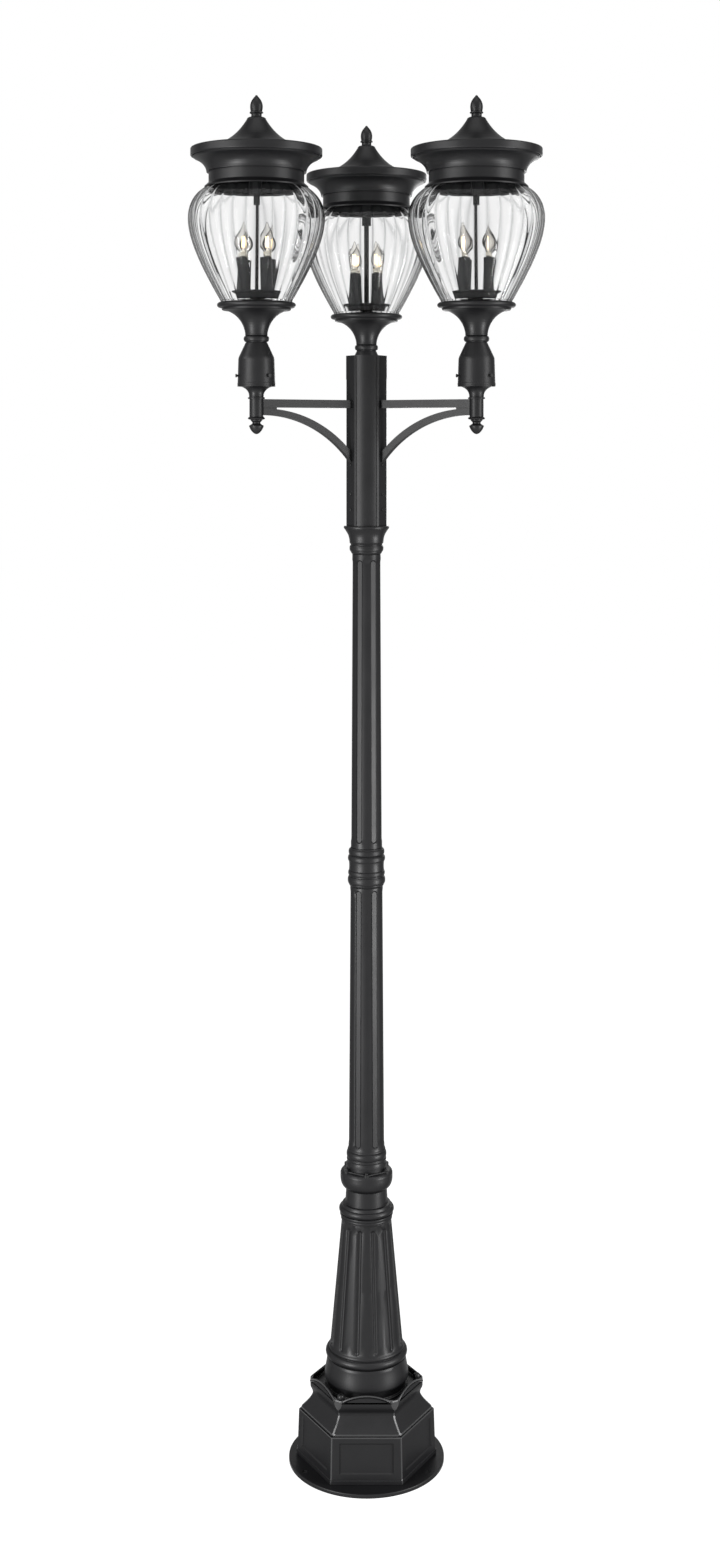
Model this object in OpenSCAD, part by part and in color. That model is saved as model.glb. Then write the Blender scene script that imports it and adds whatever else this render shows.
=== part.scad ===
// Outdoor post light: a round anchor plate, a hexagonal cast base, a fluted two-part post
// and a head tube that carries three urn lanterns on arms 120 degrees apart.
// Millimetres, +Z up, the origin is the centre of the anchor plate's underside.
// The front is -Y. One open lobe of the head tube faces it, between the left and the right arm.

/* [Anchor plate] */
// Diameter of the round anchor plate
plate_d = 348; // [340:1:420]
// Thickness of the anchor plate
plate_t = 8; // [6:1:20]
// Distance from the plate's rim to the middle of each anchor hole
anchor_edge = 17.5; // [14:0.5:24]
// Diameter of each anchor hole
anchor_hole_d = 12; // [8:0.5:14]
// Diameter of the cable entry in the middle of the plate
cable_entry_d = 36; // [20:1:40]

/* [Hexagonal base] */
// Height of the hexagonal box that stands on the plate
base_h = 101.5; // [80:0.5:140]
// Corner radius of the hexagonal box at its foot
base_foot_r = 156; // [152:0.5:158]
// Draft of the box, taken off its corner radius on the way up
base_draft = 3.5; // [0:0.5:6]
// Wall of the hexagonal castings
base_wall = 6; // [4:0.5:9]
// Height of the small moulding round the foot of the box
base_plinth_h = 11; // [6:1:20]
// Depth of the recessed panel on each face
panel_depth = 2.4; // [1:0.2:3]
// Width of the sloped border round the panel
panel_slope = 2.4; // [1:0.2:5]
// Height of the recessed panel
panel_h = 66; // [40:1:70]
// Width left between a panel and the corners of the box
panel_margin = 17; // [10:1:30]

/* [Base shroud] */
// Height of the curved tier between the box and the corner tier
ogee_h = 36.5; // [30:0.5:60]
// Corner radius at the waist, where the curved tier is narrowest
waist_r = 121.8; // [118:0.2:124]
// Corner radius of the upper tier before its corners are cut off
tier_r = 131; // [129:0.5:134]
// Distance from the axis to the flat where a corner of the tier is cut off
corner_flat = 126.4; // [125:0.2:129]
// Number of screws at the corners
base_screws_n = 3; // [2:1:3]
// Height of the upper tier, up to its corners
tier_h = 33; // [26:1:50]
// How far the arched top of a front face rises above the corners
arch_rise = 13; // [4:1:20]
// Thickness of the low wall round the foot of the pedestal
parapet_t = 4.5; // [3:0.5:6]
// Depth of the pocket between that wall and the pedestal
pocket_depth = 14; // [8:1:20]

/* [Pedestal] */
// Radius of the round skirt at its lower edge
skirt_r = 94.2; // [92:0.2:98]
// Height of the skirt
skirt_h = 47; // [30:1:60]
// Height of the skirt's lower edge above the corners of the tier
skirt_gap = 7; // [3:0.5:10]
// Height of the large rounded ring above the skirt, with its fillet
torus_low_h = 26; // [20:1:40]
// Radius of that ring
torus_low_r = 91.6; // [88:0.2:96]
// Height of the tapered fluted body
taper_h = 279; // [200:1:360]
// Radius of the fluted body at its foot
taper_foot_r = 81.4; // [78:0.2:84]
// Radius of the fluted body at its top
taper_top_r = 55.6; // [53:0.2:58]
// Height of the upper ring
torus_top_h = 37; // [30:1:60]
// Radius of the upper ring
torus_top_r = 61.7; // [59:0.1:66]
// Height of the plain neck above the upper ring
neck_h = 33; // [20:1:50]
// Radius of the neck
neck_r = 46; // [44:0.5:48]
// Wall of the cast pedestal
pedestal_wall = 6; // [4:0.5:8]
// Number of narrow flutes round the pedestal
pedestal_flutes = 12; // [6:1:16]
// Radius of a pedestal flute
pedestal_flute_r = 5.4; // [3:0.2:7]

/* [Collar] */
// Height of the collar, from the neck to the top of its hexagonal rim
collar_h = 44; // [42:0.5:70]
// Largest radius of the collar
collar_r = 58.6; // [56:0.2:64]
// Corner radius of the hexagonal rim
collar_rim_r = 54.4; // [53:0.2:56]

/* [Post] */
// Length of the lower shaft that shows
lower_shaft_h = 587; // [400:1:900]
// Radius of the lower shaft at its foot
lower_foot_r = 40.5; // [39.5:0.1:41.5]
// Radius of the lower shaft at the coupling
lower_top_r = 36.7; // [36:0.1:38]
// Height of the coupling between the two shafts
coupling_h = 86; // [80:1:130]
// Length of the upper shaft that shows
upper_shaft_h = 659; // [400:1:900]
// Radius of the upper shaft at the coupling
upper_foot_r = 35.1; // [34:0.1:36]
// Radius of the upper shaft under the capital
upper_top_r = 32; // [31:0.1:33]
// Wall of the shafts
shaft_wall = 4; // [3:0.25:5]
// Number of wide flutes round each shaft
shaft_flutes = 6; // [3:1:8]
// Width of a shaft flute
shaft_flute_w = 13; // [8:0.5:16]
// Depth of a shaft flute
shaft_flute_depth = 2.6; // [1:0.1:3]
// Height of the beaded foot of the lower shaft
shaft_beads_h = 46; // [45:1:60]
// Length of the spigot on top of the lower shaft
lower_spigot_h = 40; // [20:1:60]
// Length of the spigots at both ends of the upper shaft
upper_spigot_h = 34; // [20:1:40]
// Outside diameter of the steel pipe inside the post
pipe_d = 42.4; // [40:0.2:44]
// Wall of that pipe
pipe_wall = 3.2; // [2:0.2:4]
// Diameter of the supply cable
cable_d = 10; // [6:0.5:12]

/* [Capital and head tube] */
// Height of the capital, from the upper shaft to its rim
capital_h = 63; // [50:1:90]
// Radius of the capital's rim
capital_r = 51.2; // [50:0.2:56]
// Radius of the head tube's round lobes
head_r = 45.3; // [44.5:0.1:46]
// Distance from the axis to a flat of the head tube
head_flat = 42; // [41:0.1:43]
// Length of the capital's spigot inside the head tube
head_spigot_h = 166; // [60:1:170]
// Wall of the head tube
head_wall = 3.5; // [2.5:0.1:4]
// Length of the head tube, from the capital's seat to the seam
head_h = 336; // [300:1:420]
// Height of the capping piece above the seam
head_cap_h = 53; // [30:1:90]
// How far the capping piece stands proud of the tube
head_cap_proud = 0.6; // [0:0.1:1.5]

/* [Arms] */
// Distance from the post's axis to a lantern's axis
arm_reach = 276.7; // [240:1:340]
// Distance from the seam of the head tube down to the middle of the arm bar
arm_drop_from_seam = 56; // [40:1:80]
// Side of the square tube of the arms
arm_bar_w = 18; // [14:0.5:20]
// Side of the square tube of the braces
brace_w = 14.6; // [12:0.2:17]
// Wall of the square tubes
arm_bar_wall = 2; // [1.5:0.1:2.5]
// Radius of the curved brace, along its middle
brace_bend_r = 282; // [270:1:380]
// Distance from the lantern's axis to the place where the brace is level
brace_apex_in = 19; // [17:0.5:24]
// Length of the weld between the brace and the bar, from the lantern's axis
weld_l = 47; // [30:1:70]
// Outside diameter of the socket tube at the end of an arm
socket_d = 30.6; // [28:0.2:34]
// Height of the cup above the socket tube
cup_h = 30; // [26:1:40]
// Outside diameter of the tenon that a lantern slips over
tenon_d = 76.2; // [70:0.2:77]
// Height of the tenon
tenon_h = 50; // [30:1:52]

/* [Lantern] */
// Outside radius of the fitter at its foot
fitter_foot_r = 41.4; // [41:0.1:44]
// Height of the fitter's straight part
fitter_straight_h = 60; // [56:1:80]
// Height of the fitter's cone
fitter_cone_h = 32.3; // [24:0.1:45]
// Outside radius at the top of the fitter
fitter_top_r = 23.8; // [22:0.1:26]
// Number of set screws in a fitter
fitter_screws_n = 3; // [2:1:4]
// Height of the pan, from the fitter to its rim
pan_h = 88; // [76:1:110]
// Radius of the pan's rounded rim
pan_r = 85.7; // [83:0.1:92]
// Radius of the pan's neck
pan_neck_r = 24; // [20:0.5:26]
// Radius of the glass at its foot
glass_foot_r = 78; // [76:0.5:79]
// Largest radius of the glass
glass_r = 149.3; // [140:0.5:160]
// Height of the glass from its foot to its widest place
glass_belly_h = 180.5; // [160:0.5:230]
// Height of the glass from its widest place to its top
glass_shoulder_h = 70; // [60:1:90]
// Radius of the opening at the top of the glass
glass_mouth_r = 101; // [98:0.5:102]
// Thickness of the glass
glass_t = 3.5; // [2.5:0.1:5]
// Number of candles in a lantern
candles_n = 4; // [2:1:5]
// Radius of the circle that the candles stand on
candle_ring_r = 38; // [34:0.5:40]
// Outside diameter of a candle sleeve
candle_d = 25.6; // [22:0.2:28]
// Height of a candle sleeve
candle_h = 71; // [50:1:90]
// Largest diameter of a bulb
bulb_d = 30; // [26:0.2:34]
// Height of a bulb above its sleeve
bulb_h = 78; // [60:1:82]
// Diameter of the threaded rod that ties the lantern together
rod_d = 8; // [6:0.5:10]

/* [Roof and finial] */
// Outside radius of the roof's rim
roof_r = 143.6; // [138:0.2:150]
// Height of the rim's outer face
roof_rim_h = 20; // [14:0.5:26]
// Outside radius of the straight band over the glass
band_r = 104.1; // [103.5:0.1:106]
// Height of that band
band_h = 22.5; // [14:0.5:30]
// Height of the hollow curve between the band and the rim
cove_h = 32; // [26:0.5:42]
// Height of the spire, from the top of the rim to the finial
spire_h = 66.5; // [50:0.5:90]
// Radius at the top of the spire
spire_top_r = 21; // [18:0.5:24]
// How far the rounding at the top of the spire reaches in
spire_round = 8.5; // [5:0.5:9]
// Wall of the roof
roof_wall = 4; // [3:0.5:5]
// Height of the finial
finial_h = 48; // [36:0.5:70]
// Radius of the finial's bud
finial_r = 14.1; // [12:0.1:18]

/* [Hidden] */
$fn = 96;
eps = 0.01;
// Gap between faces of pieces that move against each other
gap = 0.3;
// Radial clearance of pieces that slide together within one body
slip = 0.2;
// Radial clearance of a turning fit
running = 0.08;
hex_sides = 6;
cos_face = cos(180 / hex_sides);

// Directions of the arms about +Z, and the faces with an arched top
ARM_NAMES = ["left", "right", "rear"];
ARM_ANGLES = [210, 330, 90];
ARCH_ANGLES = [210, 270, 330];
LOBE_ANGLES = [30, 150, 270];
// Turn of the candles and of the set screws about a lantern's axis
candle_turn = -140;
fitter_screw_turn = -167;

POST_NODES = ["anchor_plate", "hex_base", "base_shroud", "base_screws", "pedestal",
              "pedestal_collar", "collar_screws", "lower_shaft", "shaft_coupling",
              "upper_shaft", "capital", "head_tube", "head_cap", "head_screws",
              "core_pipe", "supply_cable", "wire_nuts", "arm_leads"];
ARM_PARTS = ["arm_bar", "arm_brace", "arm_socket", "arm_drop"];
LANTERN_PARTS = ["fitter", "fitter_screws", "pan", "candle_plate", "candles",
                 "bulbs", "tie_rod", "glass", "roof", "finial"];

// Heights of the seats, from the plate up
base_top_z = plate_t + base_h;
waist_z = base_top_z + ogee_h;
ledge_z = waist_z + tier_h;
deck_z = ledge_z - pocket_depth;
skirt_z = ledge_z + skirt_gap;
skirt_top_z = skirt_z + skirt_h;
taper_z = skirt_top_z + torus_low_h;
taper_top_z = taper_z + taper_h;
neck_z = taper_top_z + torus_top_h;
pedestal_top_z = neck_z + neck_h;
collar_top_z = pedestal_top_z + collar_h;
lower_shaft_z = collar_top_z + shaft_beads_h;
coupling_z = lower_shaft_z + lower_shaft_h;
upper_shaft_z = coupling_z + coupling_h;
capital_z = upper_shaft_z + upper_shaft_h;
capital_top_z = capital_z + capital_h;
head_z = capital_top_z - 7;
seam_z = head_z + head_h;
head_top_z = seam_z + head_cap_h;
arm_z = seam_z - arm_drop_from_seam;

// Places along the arms and the lantern, seen from the middle of the arm bar
socket_r = socket_d / 2;
socket_foot = -36;
socket_ring = 11;
cup_foot = socket_ring + 3;
seat = cup_foot + cup_h - 5;
lantern_z = arm_z + seat + gap;

// The lead through each arm bar, which lies on the bar's floor, and the holes that it passes
lead_r = 2.2;
lead_z = arm_bar_wall - arm_bar_w / 2 + lead_r + gap;
lead_hole_r = lead_r + 2;
lead_hole_z = lead_z + 1.5;

// Heights in a lantern, from the foot of its fitter
fitter_h = fitter_straight_h + fitter_cone_h;
fitter_bore_r = tenon_d / 2 + gap;
pan_rim_z = fitter_h + pan_h;
pan_floor_z = pan_rim_z - 4.5;
plate_lip_z = pan_floor_z + 26;
candle_z = plate_lip_z + 3.5;
candle_top_z = candle_z + candle_h;
glass_z = pan_floor_z + gap;
belly_z = glass_z + 7 + glass_belly_h;
glass_top_z = belly_z + glass_shoulder_h;
band_z = glass_top_z + 7;
cove_z = band_z + band_h;
rim_z = cove_z + cove_h;
rim_top_z = rim_z + roof_rim_h + 2;
roof_top_z = rim_top_z + spire_h;
finial_z = roof_top_z + gap;

// Points of a smooth curve through two ends, drawn by two control points
function curve(a, b, c, d, n = 12) = [for (i = [0 : n]) let (t = i / n, s = 1 - t)
    s * s * s * a + 3 * s * s * t * b + 3 * s * t * t * c + t * t * t * d];

// Points of an elliptical arc about [x, y], from angle p to angle q
function arc(x, y, a, b, p, q, n = 10) = [for (i = [0 : n]) let (t = p + (q - p) * i / n)
    [x + a * cos(t), y + b * sin(t)]];

// Points of a half-round bead that stands proud of radius r between two heights
function bead(r, z0, z1, proud, n = 8) = arc(r, (z0 + z1) / 2, proud, (z1 - z0) / 2, -90, 90, n);

// The same points moved by d
function moved(points, d) = [for (p = points) p + d];

// The points in the opposite order
function reversed(points) = [for (i = [len(points) - 1 : -1 : 0]) points[i]];

// Radius of a cone between two heights
function cone_r(z, z0, r0, z1, r1) = r0 + (r1 - r0) * (z - z0) / (z1 - z0);

// A closed turned piece from the points of its half section
module turned(points) rotate_extrude() polygon(points);

// A hexagonal piece from the points of its half section, whose radii are corner radii
module hexagonal(points) rotate_extrude($fn = hex_sides) polygon(points);

// Copies what follows onto the arm that points along an angle
module on_arm(angle) rotate([0, 0, angle]) children();

// Copies what follows onto the lantern of the arm that points along an angle
module on_lantern(angle) translate([arm_reach * cos(angle), arm_reach * sin(angle), lantern_z]) children();

// A pan head screw with a cross recess, head up, its seat at z = 0
module pan_screw(head_r, head_h, shank_r, shank_l) {
    recess_w = head_r * 0.28;
    difference() {
        union() {
            turned(concat([[0, 0], [head_r, 0], [head_r, head_h * 0.35]],
                          arc(head_r * 0.55, head_h * 0.35, head_r * 0.45, head_h * 0.65, 0, 90, 6),
                          [[0, head_h]]));
            translate([0, 0, -shank_l]) cylinder(r = shank_r, h = shank_l + eps);
        }
        for (turn = [45, 135]) rotate([0, 0, turn])
            translate([-head_r * 0.62, -recess_w / 2, head_h * 0.55])
                cube([head_r * 1.24, recess_w, head_h]);
    }
}

module anchor_plate() {
    edge_round = 2;
    color("#2d2d2e") difference() {
        turned(concat([[0, 0], [plate_d / 2, 0]],
                      arc(plate_d / 2 - edge_round, plate_t - edge_round, edge_round, edge_round, 0, 90, 5),
                      [[0, plate_t]]));
        translate([0, 0, -1]) cylinder(d = cable_entry_d, h = plate_t + 2);
        for (angle = ARM_ANGLES) rotate([0, 0, angle])
            translate([plate_d / 2 - anchor_edge, 0, -1]) cylinder(d = anchor_hole_d, h = plate_t + 2);
    }
}

// Corner radius of the hexagonal box at a height
function base_r(z) = cone_r(z, plate_t, base_foot_r, base_top_z, base_foot_r - base_draft);

module panel_cut() {
    wide = base_foot_r - base_draft - 2 * panel_margin;
    mid_z = plate_t + base_plinth_h + (base_h - base_plinth_h) / 2;
    lean = atan(base_draft * cos_face / base_h);
    for (k = [0 : hex_sides - 1]) rotate([0, 0, 30 + 60 * k])
        translate([base_r(mid_z) * cos_face, 0, mid_z]) rotate([0, -lean, 0]) hull() {
            translate([0, -wide / 2, -panel_h / 2]) cube([1, wide, panel_h]);
            translate([-panel_depth, -wide / 2 + panel_slope, -panel_h / 2 + panel_slope])
                cube([1, wide - 2 * panel_slope, panel_h - 2 * panel_slope]);
        }
}

module hex_base() {
    plinth_proud = 1.6;
    top = base_top_z;
    inner = base_wall / cos_face;
    lip = 5;
    lip_r = base_r(top) - inner - 10;
    color("#2b2b2c") difference() {
        hexagonal([[base_foot_r + plinth_proud, plate_t],
                   [base_foot_r + plinth_proud, plate_t + base_plinth_h - 2],
                   [base_r(plate_t + base_plinth_h), plate_t + base_plinth_h],
                   [base_r(top), top],
                   [lip_r, top],
                   [lip_r, top + lip],
                   [lip_r - inner, top + lip],
                   [lip_r - inner, top - base_wall],
                   [base_r(top) - inner, top - base_wall],
                   [base_foot_r - inner, plate_t]]);
        panel_cut();
    }
}

// Some corners of the tier hold a round boss for a screw
corner_wall = 6;
boss_r = 8;
base_screw_r = corner_flat - corner_wall - boss_r + 0.4;
base_screw_l = ledge_z - base_top_z + 20;

// The arched wall on a front face, with a thin lip that follows its top
module arched_wall() {
    chord = tier_r * 0.82;
    arch_r = (chord * chord / 4 + arch_rise * arch_rise) / (2 * arch_rise);
    lip_h = 3.6;
    lip_proud = 1.2;
    face = tier_r * cos_face;
    translate([face - parapet_t, 0, 0]) intersection() {
        translate([0, -chord / 2, ledge_z - 2]) cube([parapet_t, chord, arch_rise + 4]);
        translate([-1, 0, ledge_z + arch_rise - arch_r]) rotate([0, 90, 0])
            cylinder(r = arch_r, h = parapet_t + 2, $fn = 180);
    }
    translate([face - 1, 0, 0]) intersection() {
        translate([0, -chord / 2, ledge_z - lip_h]) cube([1 + lip_proud, chord, arch_rise + 8]);
        translate([-1, 0, ledge_z + arch_rise - arch_r]) rotate([0, 90, 0]) difference() {
            cylinder(r = arch_r, h = 8, $fn = 180);
            translate([0, 0, -1]) cylinder(r = arch_r - lip_h, h = 10, $fn = 180);
        }
    }
}

module base_shroud() {
    inner = base_wall / cos_face;
    foot_r = base_r(base_top_z) - 3.4;
    deck_t = 5;
    pocket_r = tier_r - parapet_t / cos_face;
    cavetto = curve([foot_r - 1.6, base_top_z + 5], [foot_r - 7, base_top_z + 10.5],
                    [waist_r + 4.5, waist_z - 14], [waist_r, waist_z - 2], 8);
    swell = curve([waist_r, waist_z + 1], [waist_r + 0.3, waist_z + tier_h * 0.3],
                  [tier_r - 1, waist_z + tier_h * 0.36], [tier_r, waist_z + tier_h * 0.85], 8);
    color("#2b2b2c") difference() {
        union() {
            difference() {
                intersection() {
                    hexagonal(concat([[foot_r - 0.6, base_top_z], [foot_r, base_top_z + 0.8],
                                      [foot_r, base_top_z + 4]],
                                     cavetto, swell, [[tier_r, ledge_z], [90, ledge_z], [90, deck_z - deck_t],
                                     [waist_r - inner, deck_z - deck_t], [waist_r - inner, waist_z - 4]],
                                     reversed(moved(cavetto, [-inner, 0])),
                                     [[foot_r - inner, base_top_z]]));
                    rotate([0, 0, 30]) hexagonal([[0, base_top_z - 1], [foot_r + 20, base_top_z - 1],
                                                  [foot_r + 20, waist_z - 6], [corner_flat / cos_face, waist_z],
                                                  [corner_flat / cos_face, ledge_z + 1], [0, ledge_z + 1]]);
                }
                intersection() {
                    translate([0, 0, deck_z]) cylinder(r = pocket_r, h = 40, $fn = hex_sides);
                    translate([0, 0, deck_z]) rotate([0, 0, 30])
                        cylinder(r = (corner_flat - corner_wall) / cos_face, h = 40, $fn = hex_sides);
                }
            }
            for (angle = ARCH_ANGLES) rotate([0, 0, angle]) arched_wall();
            for (k = [0 : base_screws_n - 1]) rotate([0, 0, 360 / base_screws_n * k])
                translate([base_screw_r, 0, deck_z - 2]) cylinder(r = boss_r, h = pocket_depth + 2);
        }
        for (k = [0 : base_screws_n - 1]) rotate([0, 0, 360 / base_screws_n * k])
            translate([base_screw_r, 0, base_top_z + 5]) cylinder(r = 3 + slip, h = ledge_z);
    }
}

module base_screws() color("#1d1d1e")
    for (k = [0 : base_screws_n - 1]) rotate([0, 0, 360 / base_screws_n * k])
        translate([base_screw_r, 0, ledge_z]) pan_screw(8, 8.5, 3, ledge_z - base_top_z + 10);

// Outline of the pedestal above its foot, from the skirt's lower edge up
pedestal_foot_r = skirt_r - 7;
skirt_top_r = torus_low_r - 3.4;
low_ring_z = skirt_top_z + 18;
top_ring_z = taper_top_z + 2;
pedestal_outline = concat(
    [[pedestal_foot_r, skirt_z + 3], [skirt_r - 1.2, skirt_z], [skirt_r, skirt_z + 1.2]],
    curve([skirt_r - 0.1, skirt_z + 5], [skirt_r - 1.2, skirt_z + 18],
          [skirt_top_r + 0.6, skirt_top_z - 14], [skirt_top_r, skirt_top_z - 1], 6),
    bead(torus_low_r - 8, skirt_top_z, low_ring_z - 0.5, 8),
    [[taper_foot_r + 3, low_ring_z], [taper_foot_r + 3, low_ring_z + 5],
     [taper_foot_r + 1.2, low_ring_z + 7], [taper_foot_r, taper_z], [taper_top_r, taper_top_z],
     [taper_top_r + 1.2, top_ring_z]],
    bead(taper_top_r + 1, top_ring_z, top_ring_z + 6.6, 1.2, 4),
    bead(taper_top_r + 2.6, top_ring_z + 7.2, top_ring_z + 13, 1.4, 4),
    bead(torus_top_r - 6, top_ring_z + 13.6, neck_z - 7.5, 6),
    [[taper_top_r - 0.6, neck_z - 7], [taper_top_r - 0.6, neck_z - 3], [taper_top_r - 2.4, neck_z - 1],
     [neck_r + 1.6, neck_z], [neck_r - 0.3, pedestal_top_z]]);

module pedestal_flute() {
    lean = atan((taper_foot_r - taper_top_r) / taper_h);
    low = 9;
    run = taper_h - low - 13;
    depth = 3.4;
    translate([taper_foot_r + pedestal_flute_r - depth, 0, taper_z]) rotate([0, -lean, 0]) {
        translate([0, 0, low]) cylinder(r = pedestal_flute_r, h = run, $fn = 24);
        for (z = [low, low + run]) translate([0, 0, z]) sphere(r = pedestal_flute_r, $fn = 24);
    }
}

module pedestal() {
    bore = neck_r - pedestal_wall - 0.4;
    foot_bore = pedestal_foot_r - pedestal_wall;
    color("#2b2b2c") difference() {
        turned(concat([[foot_bore, deck_z], [pedestal_foot_r + 5, deck_z], [pedestal_foot_r + 5, deck_z + 4],
                       [pedestal_foot_r, deck_z + 4]], pedestal_outline,
                      [[bore, pedestal_top_z], [bore, neck_z - 8],
                       [taper_top_r - pedestal_wall - 1, neck_z - 18],
                       [taper_top_r - pedestal_wall - 1, taper_top_z],
                       [taper_foot_r - pedestal_wall - 1, taper_z], [foot_bore, skirt_z]]));
        for (k = [0 : pedestal_flutes - 1])
            rotate([0, 0, (k + 0.5) * 360 / pedestal_flutes - 90]) pedestal_flute();
    }
}

// The shaft's foot stands in the collar on a ledge
collar_ledge_z = pedestal_top_z + 8;
shaft_foot_r = lower_foot_r + 3.9;
// Each corner of the collar's rim is a round ear that takes a screw
ear_r = 6.8;
ear_place_r = collar_rim_r - ear_r + 2.2;
ear_top_z = collar_top_z + 1;

module pedestal_collar() {
    rim_h = 3;
    bore = shaft_foot_r + slip;
    color("#2b2b2c") difference() {
        union() {
            turned(concat([[neck_r - 6, pedestal_top_z], [neck_r - 0.3, pedestal_top_z]],
                          arc(neck_r + 1, pedestal_top_z + 24, collar_r - neck_r - 1, 22, -82, 0, 8),
                          arc(collar_r - 9, collar_top_z - 12, 9, 12 - rim_h, 10, 76, 5),
                          [[neck_r, collar_top_z - rim_h], [neck_r - 6, collar_top_z - rim_h]]));
            translate([0, 0, collar_top_z - 14]) rotate([0, 0, 30])
                cylinder(r = collar_rim_r, h = 14, $fn = hex_sides);
            for (k = [0 : hex_sides - 1]) rotate([0, 0, 30 + 60 * k])
                translate([ear_place_r, 0, collar_top_z - 14]) cylinder(r = ear_r, h = 15, $fn = 48);
        }
        translate([0, 0, collar_ledge_z]) cylinder(r = bore, h = collar_h);
        translate([0, 0, pedestal_top_z - 1]) cylinder(r = neck_r - 5, h = collar_h);
        for (k = [0 : hex_sides - 1]) rotate([0, 0, 30 + 60 * k])
            translate([ear_place_r, 0, collar_top_z - 12]) cylinder(r = 1.8 + slip, h = 20, $fn = 24);
    }
}

module collar_screws() color("#3a3a3b")
    for (k = [0 : hex_sides - 1]) rotate([0, 0, 30 + 60 * k])
        translate([ear_place_r, 0, ear_top_z]) pan_screw(3.6, 2.6, 1.8, 9);

// Wide shallow flutes with round ends in a tapered shaft, cut square to its surface
module shaft_flute_cuts(z0, r0, z1, r1, end_gap) {
    lean = atan((r0 - r1) / (z1 - z0));
    low = end_gap + shaft_flute_w / 2;
    long = (z1 - z0) - 2 * low;
    for (k = [0 : shaft_flutes - 1]) rotate([0, 0, (k + 0.5) * 360 / shaft_flutes - 90])
        translate([r0, 0, z0]) rotate([0, -lean, 0]) translate([-shaft_flute_depth, 0, 0])
            rotate([90, 0, 90]) linear_extrude(height = 12) union() {
                translate([-shaft_flute_w / 2, low]) square([shaft_flute_w, long]);
                for (y = [low, low + long]) translate([0, y]) circle(d = shaft_flute_w);
            }
}

module lower_shaft() {
    z0 = lower_shaft_z;
    z1 = coupling_z;
    rim = collar_top_z;
    foot = shaft_foot_r;
    spigot = lower_spigot_h;
    bore0 = lower_foot_r - shaft_wall - 1;
    bore1 = lower_top_r - shaft_wall - 1;
    color("#2c2c2d") difference() {
        turned(concat([[bore0, collar_ledge_z], [foot, collar_ledge_z], [foot, rim + 7],
                       [foot + 1.3, rim + 7.8], [foot + 1.3, rim + 10.5], [foot - 0.6, rim + 13],
                       [foot - 1, rim + 18]],
                      bead(foot - 1, rim + 18.5, rim + 23, 1.1, 5),
                      [[foot - 1.6, rim + 24]],
                      bead(foot - 1.6, rim + 24.5, rim + 38, 2, 7),
                      [[foot - 2.6, rim + 39]],
                      bead(foot - 2.8, rim + 39.5, rim + 44, 0.9, 5),
                      [[lower_foot_r, z0], [lower_top_r, z1], [lower_top_r - 2.6, z1],
                       [lower_top_r - 2.6, z1 + spigot], [bore1, z1 + spigot], [bore1, z1 - 20]]));
        shaft_flute_cuts(z0, lower_foot_r, z1, lower_top_r, 7);
    }
}

module shaft_coupling() {
    z0 = coupling_z;
    z1 = upper_shaft_z;
    low_bore = lower_top_r - 2.6 + slip;
    high_bore = upper_foot_r - 2.6 + slip;
    pass = pipe_d / 2 + 1;
    color("#2a2a2b") turned(concat(
        [[low_bore, z0], [lower_top_r + 0.6, z0], [lower_top_r + 2.6, z0 + 3.5]],
        bead(lower_top_r + 2.4, z0 + 5, z0 + 22, 3.1),
        [[lower_top_r + 2.4, z0 + 23]],
        bead(lower_top_r + 2.2, z0 + 24, z0 + 35, 2.4, 6),
        curve([lower_top_r + 2.6, z0 + 36], [lower_top_r + 2, z0 + 42],
              [lower_top_r + 2, z0 + 50], [lower_top_r + 3, z0 + 56], 6),
        bead(lower_top_r + 3, z0 + 56, z0 + 68, 2.1, 6),
        [[lower_top_r + 2.2, z0 + 69]],
        bead(lower_top_r + 1, z1 - 16, z1 - 3, 2.6, 6),
        [[upper_foot_r + 1.6, z1 - 2], [upper_foot_r + 0.6, z1], [high_bore, z1],
         [high_bore, z1 - upper_spigot_h - 2], [pass, z1 - upper_spigot_h - 2], [pass, z0 + lower_spigot_h + 2],
         [low_bore, z0 + lower_spigot_h + 2]]));
}

module upper_shaft() {
    z0 = upper_shaft_z;
    z1 = capital_z;
    spigot = upper_spigot_h;
    bore0 = upper_foot_r - shaft_wall - 1;
    bore1 = upper_top_r - shaft_wall - 1;
    color("#2c2c2d") difference() {
        turned([[bore0, z0 - spigot], [upper_foot_r - 2.6, z0 - spigot], [upper_foot_r - 2.6, z0],
                [upper_foot_r, z0], [upper_top_r, z1], [upper_top_r - 2.4, z1],
                [upper_top_r - 2.4, z1 + spigot], [bore1, z1 + spigot], [bore1, z1 - 20]]);
        shaft_flute_cuts(z0, upper_foot_r, z1, upper_top_r, 14);
    }
}

// The capital's inner spigot fills the head tube's bore
spigot_r = head_flat - head_wall - slip;
spigot_top_z = head_z + head_spigot_h;

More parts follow.
